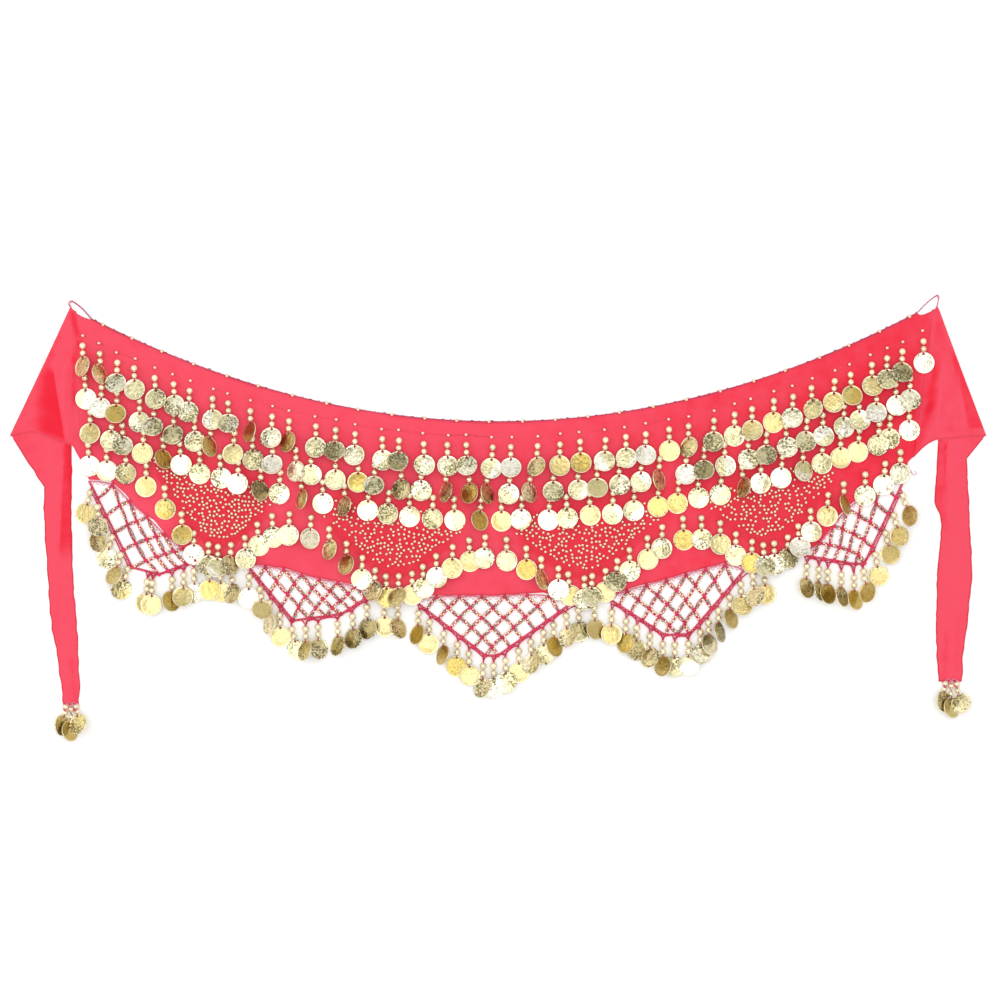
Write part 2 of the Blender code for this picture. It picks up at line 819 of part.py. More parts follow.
def fringe_path(net, side, hem_to_x):
    """Middle of the fringe's strip, from left to right, just outside the net's chain."""
    rows = range(net.depth + 1)
    if side == "left":
        chain = [net_knot(net, 0, down) for down in rows]
    else:
        lowest = [net_knot(net, across, net.depth) for across in range(net.meshes - net.depth)]
        following = net_knot(net, 1, net.depth)
        chain = [mix_point(lowest[0], following, 0.5), *lowest[1:]]
        chain += [net_knot(net, net.meshes - down, down) for down in reversed(rows)]
    if hem_to_x is not None:
        chain += hem_path(net.x_right + FRINGE_HEM_STEP, hem_to_x, NET_HEM_OFFSET)[1:]
    return offset_path(chain, NET_CHAIN / 2 + FRINGE_GAP + STRIP_WIDTH / 2)


def build_fringes(material, placed):
    for fringe in FRINGES:
        path = fringe_path(NETS[fringe.net - 1], fringe.side, fringe.hem_to_x)
        length = path_length(path)
        margin = length / fringe.drops / 2
        ends = (FRINGE_TIP_STEP, length - margin)
        if fringe.side == "left":
            ends = (margin, length - FRINGE_TIP_STEP)
        drops = []
        distances = []
        for index in range(fringe.drops):
            share = index / (fringe.drops - 1)
            distance = off_bends(path, mix(*ends, share))
            root, _ = point_along(path, distance)
            lean = mix(fringe.lean_first, fringe.lean_last, share)
            long = mix(fringe.long_first, fringe.long_last, share)
            drops.append(make_drop(root, lean, long, height=FRINGE_LIFT + DROP_THICK / 2))
            distances.append(distance)
        for drop in reversed(drops) if fringe.side == "left" else drops:
            settle(drop, path, placed, FRINGE_SLOPES)
        add_drops(f"fringe_{fringe.net}_{fringe.side}", material, path, distances, drops)


def build_cluster(name, material, tie, placed):
    """Coins on a strip just below a strap's end."""
    y = tie["strap"][-1].y - SEAM_GAP - STRIP_WIDTH / 2
    roots = [coin.x_root for coin in tie["coins"]]
    path = [(min(roots) - PATH_SPARE, y), (max(roots) + PATH_SPARE, y)]
    drops = []
    for coin in tie["coins"]:
        height = FRINGE_LIFT + DROP_THICK / 2
        drop = make_drop((coin.x_root, y), coin.lean, coin.length, coin.half_width, height)
        settle(drop, path, placed, FRINGE_SLOPES)
        drops.append(drop)
    distances = [x - path[0][0] for x in roots]
    add_drops(name, material, path, distances, drops)


# ------------------------------------------------------------------ ties


def tie_rows(tie):
    """Middle of the tie's cloth: rows of points from the strap's inner edge, round the
    fold, over the flap to the seam. Strap rows have only the back layer."""
    side = math.copysign(1.0, tie["elbow"][0])
    fold = (tie["elbow"][0] - tie["corner"][0], tie["elbow"][1] - tie["corner"][1])
    length = math.hypot(*fold)
    outward = (-fold[1] / length * side, fold[0] / length * side)
    middle = CLOTH / 2 + FOLD_RADIUS
    layer = middle + FOLD_RADIUS
    inner_foot = (tie["strap"][0].x_inner, tie["elbow"][1])
    rows = []
    for step in range(FLAP_ROWS):
        share = step / (FLAP_ROWS - 1)
        edge = mix_point(tie["corner"], tie["elbow"], share)
        centre = moved(edge, outward, -middle)
        inner = mix_point(tie["inner_top"], inner_foot, share)
        seam = mix_point(tie["seam_top"], tie["seam_foot"], share)
        row = [[*mix_point(inner, centre, part / STRAP_PARTS), CLOTH / 2] for part in range(3)]
        for angle in FOLD_ANGLES:
            turn = math.radians(angle)
            place = moved(centre, outward, FOLD_RADIUS * math.cos(turn))
            row.append([*place, middle + FOLD_RADIUS * math.sin(turn)])
        flap = len(row)
        across, down = LIP_SHARES
        lip = (mix(inner[0], seam[0], across), mix(inner[1], seam[1], down))
        for part, ridge in FLAP_SHAPE:
            row.append([*mix_point(centre, lip, part), layer + ridge * share])
        for part in SEAM_SHARES:
            row.append([*mix_point(lip, seam, part), CLOTH / 2])
        width = abs(seam[0] - edge[0])
        for point in row[flap:]:
            across = abs(point[0] - edge[0]) / width
            point[1] += look_up(tie["hem_sway"], across) * share**3
        rows.append(row)
    for line in tie["strap"][1:]:
        shares = [part / STRAP_PARTS for part in range(STRAP_PARTS + 1)]
        rows.append([(mix(line.x_inner, line.x_outer, part), line.y, CLOTH / 2) for part in shares])
    return rows


def build_tie(name, material, tie):
    rows = tie_rows(tie)
    starts = []
    vertices = []
    for row in rows:
        starts.append(len(vertices))
        vertices += [tuple(point) for point in row]
    faces = []
    for upper, lower in zip(range(len(rows)), range(1, len(rows))):
        for column in range(len(rows[lower]) - 1):
            a = starts[upper] + column
            b = starts[lower] + column
            faces.append((a, b, b + 1, a + 1))
    item = add_object(name, vertices, faces, material)
    wall = item.modifiers.new("wall", "SOLIDIFY")
    wall.thickness = CLOTH * MM
    wall.offset = 0.0
    wall.use_even_offset = True
    return item


# ------------------------------------------------------------------ whole scarf


def main():
    for old in list(bpy.data.objects):
        bpy.data.objects.remove(old, do_unlink=True)
    cloth = make_material("chiffon", (1.0, 0.075, 0.13), 0.75, 0.0)
    thread = make_material("crochet_thread", (0.7, 0.01, 0.06), 0.7, 0.0)
    coins = make_material("gilt_coins", (0.83, 0.69, 0.36), 0.3, 1.0)
    build_main_panel(cloth)
    build_tie("left_tie", cloth, LEFT_TIE)
    build_tie("right_tie", cloth, RIGHT_TIE)
    build_top_edging(thread)
    for number, net in enumerate(NETS, start=1):
        build_net(f"net_{number}", thread, net)
    placed = []
    build_coin_rows(coins, placed)
    build_wave_row(coins, placed)
    build_fringes(coins, placed)
    build_cluster("left_tie_coins", coins, LEFT_TIE, placed)
    build_cluster("right_tie_coins", coins, RIGHT_TIE, placed)


main()
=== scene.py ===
"""Looks of the belly dance hip scarf: chiffon, crochet, seed beads, round beads and coins.

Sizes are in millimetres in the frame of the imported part, and become metres when a mesh is made.
"""

import math
import random
from collections import namedtuple
from itertools import cycle, product

import bpy
import numpy as np
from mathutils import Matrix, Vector, geometry, noise


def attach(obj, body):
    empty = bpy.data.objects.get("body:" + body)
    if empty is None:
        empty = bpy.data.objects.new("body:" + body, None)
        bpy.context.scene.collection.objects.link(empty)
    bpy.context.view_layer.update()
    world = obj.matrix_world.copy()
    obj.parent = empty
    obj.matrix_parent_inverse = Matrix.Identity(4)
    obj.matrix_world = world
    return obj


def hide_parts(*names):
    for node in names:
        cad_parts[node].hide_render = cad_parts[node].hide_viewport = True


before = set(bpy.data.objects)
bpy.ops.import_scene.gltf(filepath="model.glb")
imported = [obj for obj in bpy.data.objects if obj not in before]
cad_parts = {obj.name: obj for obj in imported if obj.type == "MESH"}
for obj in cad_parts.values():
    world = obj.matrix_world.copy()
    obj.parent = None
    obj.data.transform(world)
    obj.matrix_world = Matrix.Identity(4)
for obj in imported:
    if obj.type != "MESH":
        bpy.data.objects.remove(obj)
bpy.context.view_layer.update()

MM = 0.001
UP = (0.0, 0.0, 1.0)

# ------------------------------------------------------------------ sizes that the solids have too

CLOTH = 1.0
SEAM_GAP = 0.3
WAIST_LOW = 88.0
WAIST_RISE = 105.0
WAIST_HALF = 390.0
SIDE_FADE = 12
NET_CHAIN = 2.6
NET_HEM_OFFSET = 1.7
COIN_RADIUS = 9.5
DROP_LENGTH = 21.0
STRIP_WIDTH = 1.8
STRIP_BEND = 0.06
BEND_SPARE = 4.2
FRINGE_GAP = 0.4
FRINGE_HEM_STEP = 5.0
FRINGE_TIP_STEP = 2.0
STRAND_WIDTH = 3.0

# Rows of drops: first and last root, how many drops there are, and how far the roots lie below
# the waist edge at the middle and at the ends.
Row = namedtuple("Row", "name x_first x_last drops below_middle below_end")
ROWS = (
    Row("coin_row_1", -373.3, 380.4, 42, 20.9, 27.6),
    Row("coin_row_2", -370.0, 371.6, 42, 44.7, 55.5),
    Row("coin_row_3", -365.3, 370.0, 41, 68.1, 83.4),
)
ROW_LENGTHS = 6
LETTERS = "abcdefgh"
ROW_CROWDING = 0.1
ROW_SWAY = 1.6
ROW_SWAY_TURN = 2.4

# The wavy row's ridges between the beaded fans, and the depth of the fan to the right of each.
Ridge = namedtuple("Ridge", "x below fan_depth")
RIDGES = (
    Ridge(-372.0, 114.0, 0.0),
    Ridge(-334.0, 104.0, 52.0),
    Ridge(-180.0, 105.0, 40.0),
    Ridge(-10.0, 103.0, 39.0),
    Ridge(169.0, 105.0, 38.0),
    Ridge(322.0, 121.0, 0.0),
    Ridge(362.0, 117.0, 0.0),
)
FAN_ROUNDNESS = 1.3
WAVE_PITCH_RIDGE = 17.6
WAVE_PITCH_FAN = 10.5
WAVE_CROWDING = 0.7
WAVE_LENGTHS = 8
WAVE_LAST = 361.5

# Lower edge of the cloth as x and y, from its left corner to its right corner.
HEM = (
    (-368.4, 35.9), (-348.5, 34.6), (-335.1, 22.9), (-325.2, 9.8), (-309.0, -1.0),
    (-295.5, -18.1), (-277.5, -29.8), (-241.5, -37.0), (-223.5, -39.7), (-191.1, -44.2),
    (-168.6, -51.4), (-130.8, -58.6), (-106.5, -67.6), (-76.8, -72.5), (-67.8, -68.5),
    (-3.0, -68.5), (41.1, -65.8), (66.3, -74.8), (96.0, -70.3), (126.6, -59.5),
    (150.0, -54.1), (170.7, -47.8), (208.5, -37.9), (222.0, -44.5), (253.5, -37.0),
    (273.0, -30.7), (285.0, -23.5), (296.0, -13.6), (303.0, 0.8), (317.5, 14.3),
    (331.0, 23.3), (344.5, 34.9), (365.1, 35.9),
)
# Side edges of the cloth as y and x, from the waist down to the hem.
LEFT_SIDE = ((187.0, -380.3), (53.9, -375.6), (35.9, -368.4))
RIGHT_SIDE = ((189.0, 391.0), (56.6, 374.1), (52.1, 368.7), (35.9, 365.1))

# Soft creases in the panel: where each starts and ends, its width and its height.
Crease = namedtuple("Crease", "x_start y_start x_end y_end width height")
CREASES = (
    Crease(-374.0, 180.0, -340.0, 152.0, 9.0, 0.7),
    Crease(-335.0, 160.0, -238.0, 119.0, 8.0, 0.5),
    Crease(-215.0, 112.0, -60.0, 83.0, 8.0, 0.6),
    Crease(20.0, 81.0, 178.0, 101.0, 8.0, 0.5),
    Crease(205.0, 110.0, 318.0, 149.0, 8.0, 0.6),
    Crease(384.0, 180.0, 345.0, 158.0, 9.0, 0.7),
    Crease(-52.0, -52.0, 38.0, -50.0, 12.0, 0.6),
    Crease(112.0, -48.0, 168.0, -33.0, 12.0, 0.6),
)

# Nets: their stretch of the hem, the ends of their lower tip, and their meshes.
Net = namedtuple("Net", "x_left x_right tip_left tip_right meshes depth")
NETS = (
    Net(-368.0, -264.0, (-329.5, -43.5), (-305.0, -50.0), 6, 5),
    Net(-226.0, -112.0, (-184.5, -91.5), (-141.0, -85.5), 7, 4),
    Net(-76.0, 66.0, (-11.5, -123.0), (-0.5, -123.0), 7, 6),
    Net(98.0, 222.0, (150.0, -104.5), (172.0, -103.6), 7, 5),
    Net(272.0, 364.6, (321.5, -40.6), (329.5, -39.8), 6, 5),
)
# Fringe: its net and side, its drops, their lean in degrees and their length from first to last,
# and how far it carries on along the hem.
Fringe = namedtuple(
    "Fringe", "net side drops lean_first lean_last long_first long_last hem_to_x"
)
FRINGES = (
    Fringe(1, "left", 6, -13.0, -17.0, 21.0, 21.0, None),
    Fringe(1, "right", 8, -4.0, 3.0, 26.0, 26.0, -234.0),
    Fringe(2, "left", 5, -2.0, 4.0, 23.0, 26.0, None),
    Fringe(2, "right", 7, 0.0, 4.0, 26.0, 24.0, -84.0),
    Fringe(3, "left", 6, -3.0, -2.0, 24.0, 27.0, None),
    Fringe(3, "right", 9, 1.0, 3.0, 26.0, 23.0, 90.0),
    Fringe(4, "left", 5, -1.0, 0.0, 27.0, 26.0, None),
    Fringe(4, "right", 9, 0.0, 3.0, 26.0, 23.0, 246.0),
    Fringe(5, "left", 5, -3.0, 1.0, 26.0, 30.0, None),
    Fringe(5, "right", 5, 8.0, 16.0, 24.0, 23.0, None),
)

# Ties: the flap folds under along the line from its corner to its elbow, and the strap hangs
# from the layer behind. The peak, and the left seam's top, are the scene's own.
FLAP_ROWS = 9
FOLD_ANGLES = (-90.0, -30.0, 30.0, 90.0)
LIP_SHARES = (0.15, 0.3)
STRAP_PARTS = 3
Strap = namedtuple("Strap", "y x_outer x_inner")
TieCoin = namedtuple("TieCoin", "x_root lean half_width length")
LEFT_TIE = {
    "peak": ((-385.1, 191.3), (-384.5, 190.5), (-380.6, 185.9)),
    "corner": (-386.2, 188.6),
    "elbow": (-438.6, 75.2),
    "inner_top": (-383.6, 187.4),
    "seam_top": (-380.6, 185.4),
    "seam_foot": (-375.9, 53.9),
    "hem_sway": ((0.0, 0.0), (0.34, 6.2), (0.5, 2.9), (0.77, -1.4), (0.86, -3.0), (1.0, 0.0)),
    "strap": (
        Strap(75.2, -438.6, -384.4),
        Strap(52.0, -423.6, -384.3),
        Strap(28.9, -408.7, -384.0),
        Strap(-13.6, -407.5, -384.3),
        Strap(-61.3, -404.3, -382.3),
        Strap(-93.7, -401.9, -379.4),
        Strap(-119.3, -397.1, -378.3),
        Strap(-149.9, -393.0, -377.0),
        Strap(-167.0, -390.6, -377.6),
    ),
    "coins": (
        TieCoin(-388.6, -8.0, 5.4, 17.5),
        TieCoin(-384.0, 0.0, 6.0, 22.5),
        TieCoin(-379.6, 8.0, 5.4, 16.5),
    ),
}
RIGHT_TIE = {
    "peak": ((394.9, 191.4), (394.2, 190.5), (391.3, 187.9)),
    "corner": (397.0, 187.8),
    "elbow": (438.6, 75.2),
    "inner_top": (394.6, 187.2),
    "seam_top": (391.3, 187.0),
    "seam_foot": (374.4, 56.6),
    "hem_sway": ((0.0, 0.0), (0.36, 1.2), (0.65, 1.0), (0.82, 2.9), (0.93, 2.2), (1.0, 0.0)),
    "strap": (
        Strap(75.2, 438.6, 396.5),
        Strap(54.5, 421.3, 395.2),
        Strap(15.2, 422.7, 393.0),
        Strap(-5.9, 423.5, 399.0),
        Strap(-42.0, 426.0, 395.6),
        Strap(-77.5, 423.7, 394.6),
        Strap(-104.5, 420.5, 394.3),
        Strap(-125.7, 417.3, 395.2),
        Strap(-146.0, 417.3, 396.5),
    ),
    "coins": (
        TieCoin(402.0, -10.0, 7.4, 17.0),
        TieCoin(407.0, 0.0, 8.0, 22.5),
        TieCoin(412.0, 8.0, 7.4, 19.0),
    ),
}

# ------------------------------------------------------------------ the cloth's own sizes

SHELL = 0.5
FLOOR_SPARE = 0.05
# The panel's mesh, closer at its ends, and how its face drops to its edges.
PANEL_COLUMNS = 300
PANEL_ROWS = 60
PANEL_CROWDING = 0.5
EDGE_DROP = 0.42
EDGE_SOFT = 12.0
SIDE_CALM = 0.025
WAIST_INSET = 0.7
# How far the waist edge sags near its two corners, where the edging has come away.
CORNER_SAG = (
    (-380.3, 0.9), (-378.5, 1.8), (-374.5, 2.0), (-371.3, 1.7), (-367.3, 0.8), (-365.5, 0.0),
    (376.6, 0.0), (378.5, 2.4), (380.3, 3.7), (383.9, 4.6), (389.4, 5.2), (391.0, 4.6),
)
# The ties' fold, the ridges of their flaps and the lap at their seams.
FOLD_RADIUS = 0.4
FLAP_SHAPE = ((0.2, 0.0), (0.4, 0.1), (0.55, 0.6), (0.7, 0.1), (0.85, 0.5), (1.0, 0.0))
FLAP_CALM = 0.7
SEAM_LEVEL = 0.74
SEAM_LAP = 0.6
HEM_PRESS = 0.3
PRESS_START = 0.8
# The ties' mesh: parts of each span across and along, and the straight spans below the elbow.
COLUMN_PARTS = 5
FLAP_PARTS = 5
STRAP_ROW_PARTS = 9
ELBOW_SPANS = 2
CALM_COLUMNS = 10
BACK_CALM = 0.6
FOLD_COLUMNS = 14
SEAM_COLUMN = -3
TIE_LOWEST = 0.3
# Rolled hems.
HEM_ROLL = 0.42
HEM_SIDES = 6
HEM_SPARE = 0.03
SEAM_ROLL = 0.6

# Soft waves: their height and length, how much closer they stand in x and y, and their seed.
Wave = namedtuple("Wave", "height length stretch_x stretch_y seed")
PANEL_WAVES = (Wave(0.22, 26.0, 0.7, 1.3, 7.7), Wave(0.1, 8.0, 1.0, 1.0, 2.2))
TIE_WAVES = (Wave(0.25, 16.0, 1.8, 0.35, 5.5), Wave(0.1, 7.0, 1.0, 1.0, 1.4))
STRAP_WAVES = (Wave(1.1, 8.0, 0.2, 1.0, 6.1),)
STRAP_WAVE_START = (60.0, 40.0)

# ------------------------------------------------------------------ depth of the cloth's colour, with painted shade and highlights

# Painted shade and highlights near the two corners: streaks of deeper colour in folds, where shade
# falls, and of lighter colour on ridges, where light falls.
Streak = namedtuple("Streak", "x_start y_start x_end y_end width depth")
STREAK_REACH = 30.0
STREAK_FADE = 0.1
UPPER_FOLD_SHADING = (
    Streak(-384.2, 186.0, -374.9, 155.5, 5.0, 0.55),
    Streak(-376.5, 160.0, -382.2, 140.0, 5.0, 0.35),
    Streak(-382.0, 146.0, -381.8, 100.0, 5.0, 0.35),
    Streak(-379.0, 163.5, -374.6, 156.5, 1.8, -0.30),
    Streak(-392.1, 150.0, -392.0, 102.5, 1.5, -0.22),
    Streak(-392.0, 104.0, -386.2, 71.0, 1.5, -0.22),
    Streak(-380.5, 104.0, -380.0, 70.0, 1.8, -0.25),
    Streak(-387.0, 156.0, -387.5, 100.0, 3.0, 0.12),
    Streak(-401.7, 152.0, -407.0, 132.0, 6.0, 0.22),
    Streak(-396.0, 168.0, -402.0, 146.0, 4.0, 0.14),
    Streak(391.7, 187.0, 388.3, 125.0, 4.0, -0.28),
    Streak(396.6, 178.0, 401.6, 148.0, 6.0, 0.16),
    Streak(392.6, 140.0, 388.1, 96.0, 6.5, 0.36),
    Streak(388.6, 103.0, 376.2, 60.0, 6.5, 0.36),
    Streak(400.4, 138.0, 394.8, 84.0, 3.0, -0.30),
    Streak(407.4, 93.0, 407.4, 77.0, 7.0, 0.16),
    Streak(413.0, 133.0, 420.0, 83.0, 2.4, -0.30),
    Streak(382.6, 132.0, 376.0, 80.0, 3.0, -0.16),
)
# Painted shade in the straps' folds and painted highlights on their ridges.
STRAP_FOLD_SHADING = (
    Streak(-388.6, 74.0, -385.6, 30.0, 2.0, 0.18),
    Streak(-403.0, 78.0, -401.0, -60.0, 8.0, -0.12),
    Streak(-392.0, -70.0, -389.6, -146.0, 3.0, -0.14),
    Streak(-384.2, -125.0, -380.5, -166.0, 4.5, 0.26),
    Streak(-398.0, -150.0, -391.0, -168.0, 4.0, 0.16),
    Streak(402.9, 75.0, 402.0, 12.0, 1.6, 0.40),
    Streak(424.0, 74.0, 430.0, 66.0, 6.0, 0.16),
    Streak(409.0, 30.0, 411.0, -60.0, 7.0, -0.12),
    Streak(403.0, -100.0, 402.0, -144.0, 5.0, 0.18),
    Streak(414.0, -96.0, 412.0, -144.0, 4.0, 0.14),
)
# Where a part of the flap has a second layer close below it.
Corner = namedtuple("Corner", "x y soft")
LEFT_DOUBLE = (
    Corner(-415.2, 79.1, 3.0),
    Corner(-390.0, 71.0, 1.4),
    Corner(-399.9, 133.1, 14.0),
    Corner(-411.0, 133.1, 16.0),
)
RIGHT_DOUBLE = (
    Corner(423.6, 81.8, 1.4),
    Corner(438.0, 81.8, 2.0),
    Corner(414.0, 150.0, 12.0),
    Corner(406.5, 150.0, 4.0),
)
# Extra depth of colour from the left end of the scarf to the right end.
END_DEPTH = (
    (-120.0, 0.0), (0.0, 0.06), (128.0, 0.20), (190.0, 0.27), (254.0, 0.31), (330.0, 0.42),
    (376.0, 0.42), (392.0, 0.26), (402.0, 0.05),
)
PLAIN_DEPTH = 0.15
# The stretch with coin rows on it, from above the first row down to the wavy row.
ROWS_DEPTH = 0.05
ROWS_ABOVE = 4.0
ROWS_FADE = (0.0, 14.0)
ROWS_FOOT = (-8.0, 0.0)
# The beaded fans, and their soft edges at the wavy row, at their ends and under the third row.
FAN_TINT = 0.5
FAN_SHADE = 0.38
FAN_FOOT = (-5.5, -1.0)
FAN_ENDS = (0.05, 0.3)
FAN_TOP = (2.0, -16.0)
# Flaps and their fold.
LEFT_DOUBLE_DEPTH = 0.75
RIGHT_DOUBLE_DEPTH = 0.42
RIGHT_END_FADE = (60.0, 130.0)
RIGHT_TOP_DEPTH = 0.12
RIGHT_TOP_FADE = (135.0, 165.0)
FOLD_DEPTH = 0.4
FOLD_SHADE = 0.7
# Straps: their doubled inner edges, and the left strap's outer side below its elbow.
STRAP_DEPTH = 0.12
LEFT_STRIP_DEPTH = 0.62
LEFT_STRIP_EDGE = (-391.0, -389.5)
LEFT_STRIP_SLOPE = 0.044
LEFT_STRIP_TOP = 75.0
LEFT_STRIP_FADE = (-45.0, -10.0)
LEFT_SIDE_DEPTH = 0.08
LEFT_SIDE_EDGE = (-400.0, -412.0)
LEFT_SIDE_FADE = (20.0, 40.0)
RIGHT_STRIP_DEPTH = 0.3
RIGHT_STRIP_EDGE = (8.0, 6.9)
RIGHT_STRIP_FADE = (-12.0, 0.0)
# Rolled hems.
PANEL_HEM_DEPTH = 0.45
STRAP_HEM_DEPTH = 0.75
STRAP_HEM_SHADE = 0.9

# ------------------------------------------------------------------ crochet's own sizes

# A two-ply thread's distance between turns, against the thickness of its ply.
Ply = namedtuple("Ply", "thick pitch")
PLY_SIDES = 4
PLY_STEPS = 5
PLY_SPREAD = 0.5
PLY_RADIUS = 0.55
# A crochet chain: its half width, its stitches' length and its thread's radius.
Chain = namedtuple("Chain", "reach pitch thick")
CHAIN_LEGS = ((0.0, 0.12, 0.0), (0.3, 0.5, 0.35), (0.75, 0.42, 0.4), (1.25, 0.1, -0.1))
CHAIN_RISE = 1.5
THREAD_SIDES = 4
# The least length that a direction's sideways part may have.
STEEP = 0.05

# The edging's line along the waist, and the two loops of thread at its ends.
EDGING_FIRST = -366.0
EDGING_LAST = 376.8
EDGING_STEPS = 120
EDGING_OUTER = 0.5
EDGING_INNER = 1.7
EDGING_LEVEL = 0.9
EDGING_CHAIN = Chain(1.0, 3.4, 0.24)
EDGING_CHAIN_LEVEL = 1.0
EDGING_PLY = Ply(0.5, 2.6)
LEFT_LOOP = ((-385.0, 190.9), (-386.4, 193.1), (-385.3, 195.3), (-382.6, 195.3), (-374.6, 189.3))
RIGHT_LOOP = ((394.6, 191.0), (395.7, 195.6), (396.0, 199.0), (394.2, 200.8), (385.8, 194.6))
LOOP_LEVEL = 0.7
LOOP_PLY = Ply(0.5, 3.0)
LOOP_SECOND_PLY = Ply(0.3, 2.6)
LOOP_SECOND_SHIFT = (0.3, 0.7, 0.2)
LOOP_KNOT = 1.1
TAIL = ((369.4, 46.2), (371.6, 42.6), (374.0, 39.6), (376.6, 40.8), (374.6, 43.0))
TAIL_LEVEL = 0.5
TAIL_RADIUS = 0.35
PICOT_FIRST = 4.0
PICOT_HALF = 1.6
PICOT_REACH = (0.6, 1.4)
PICOT_PITCH = (5.0, 10.0)
PICOT_RADIUS = 0.3
EDGING_SEED_FIRST = 12.0
EDGING_SEED_PITCH = 31.0
EDGING_SEED_STRAY = 2.5
EDGING_SEED_LEVEL = 2.2
EDGING_SEED_RADIUS = 1.8

# Nets: two-ply sides with seed beads, a loose thread beside each, and knots at the crossings.
NET_PLY = Ply(1.15, 2.8)
NET_LEVEL = 1.3
NET_SAG_RISE = 0.1
NET_UNEVEN = 0.9
NET_LOOSE = 1.7
LOOSE_LEVEL = 0.7
LOOSE_DIP = 0.1
LOOSE_RADIUS = 0.3
KNOT_SQUASH = 0.8
KNOT_INNER = 1.7
KNOT_OUTER = 1.9
KNOT_CRIMSON_SHARE = 0.7
NET_SEED_RADIUS = 1.25
NET_SEED_PITCH = 2.1
NET_SEEDS_LEAST = 2
NET_SEEDS_MOST = 5
NET_SEED_MARGIN = 3.0
NET_SEED_SIDE = 0.6
NET_SEED_STRAY = 0.25
NET_SEED_LEVEL = 1.9
NET_OUTLINE = Chain(1.45, 3.2, 0.46)
NET_OUTLINE_LEVEL = 0.8
# Along the hem each mesh has a two-ply thread and small loops below it.
HEM_PLY = Ply(0.6, 2.6)
HEM_BOW = 0.6
HEM_LEVELS = (0.7, 0.8)
HEM_LOOPS = 4
HEM_LOOP_FEET = (0.1, 0.9)
HEM_LOOP_DROP = 2.4
HEM_LOOP_RADIUS = 0.34
HEM_LOOP_LEVELS = (0.8, 1.0)

# V-shaped threads from a net's chain to each strand, and loops from strand to strand.
PICOT_PLY = Ply(0.6, 2.2)
PICOT_SPREAD = 3.2
PICOT_BEND = 0.55
PICOT_LEVELS = (0.8, 1.3)
CHAIN_PARTS = 60
CHAIN_END = 0.01
SWAG_PLY = Ply(0.7, 2.4)
SWAG_REACH = 26.0
SWAG_LEVEL = 1.6
SWAG_RISE = (0.0, 1.2, 0.6)
# Loops round the roots of a strap's coins, as steps from the root, and loops between the roots.
FOOT_PLY = Ply(0.6, 2.2)
FOOT_LOOP = ((0.0, 2.2, 1.2), (2.2, 0.6, 1.8), (1.9, -2.6, 3.6), (0.4, -4.2, 5.2))
FOOT_LINK = (1.6, 1.3)
FOOT_LINK_RISE = (1.8, 0.3)
# Running thread of a row.
ROW_THREAD = 0.26
ROW_THREAD_LIFT = 0.25

# ------------------------------------------------------------------ the beads' and coins' own sizes

BEAD_RADII = (3.3, 3.05)
BEAD_PITCH = 6.7
BEAD_FIRST = 1.9
BEAD_SIT = 0.97
BEAD_SIZES = (0.95, 1.03)
BEAD_TONES = (0.85, 1.05)
TIE_BEAD_SHARE = 0.8
# How the beads of a strand move as it gets longer or shorter than usual.
LONG_SHIFT = 0.9
SHORT_SHIFT = 0.3
SHORT_PITCH = 0.4
STRAND_THREAD = 0.42
# How far the strand's thread lies over the cloth at its root, under the first bead's middle,
# over the line from the second bead to the coin, and over and under the coin's hole.
STRAND_START = 0.6
STRAND_IN_BEAD = 0.2
STRAND_BOW = 0.6
STRAND_OVER_HOLE = 0.9
STRAND_UNDER_HOLE = 0.2

SEED_RADIUS = 1.55
SEED_AREA = 34.0
SEED_TRIES = 12
SEED_SPARE = 2.9
SEED_BELOW = 6.0
SEED_TOP = 15.0
SEED_SIDE = 8.0
SEED_SHARE = 0.1
SEED_SPREAD = 0.5
SEED_LIFT = 1.2
SEED_UNDER_COIN = 0.6
# Seed beads above the first row, each with a stitch, and a chain from one to the next.
ROW_SEED_RADIUS = 1.75
ROW_SEED_ABOVE = 7.4
ROW_SEED_STRAY = (1.2, 0.6)
ROW_SEED_LIFT = 1.5
ROW_SEED_TURN = (0.3, 1.0)
ROW_STITCH = ((-2.5, -0.5, 0.2), (0.0, 0.0, 0.7), (2.5, -0.5, 0.2))
ROW_STITCH_RADIUS = 0.42
ROW_CHAIN = Chain(1.0, 3.6, 0.22)
ROW_CHAIN_LIFT = 0.3

COIN_THICK = 0.5
COIN_DISH = 0.6
COIN_BOW = 0.35
HOLE_SHARE = 0.85 / COIN_RADIUS
HOLE_Y = 7.9 / COIN_RADIUS
HOLE_POINTS = 10
HOLE_CLEAR = 1.35
HOLE_KEPT = 0.93
COIN_REACH = COIN_RADIUS - 1.6
RING_TWIST = 0.13
BACK_RELIEF = 0.2
WHOLE_HULL = 0
SAME_PLACE = 1e-5
# Rings of points on a coin: their radius as a share of the coin's, and how many points.
Ring = namedtuple("Ring", "radius points")
COIN_RIM = Ring(1.0, 48)
FACE_RINGS = (
    Ring(0.0, 1), Ring(0.13, 8), Ring(0.25, 14), Ring(0.36, 20), Ring(0.46, 24),
    Ring(0.55, 30), Ring(0.63, 34), Ring(0.71, 36), Ring(0.78, 40), Ring(0.835, 48),
    Ring(0.885, 48), Ring(0.93, 48), Ring(0.97, 48),
)
BACK_RINGS = (Ring(0.0, 1), Ring(0.25, 10), Ring(0.5, 20), Ring(0.75, 30))

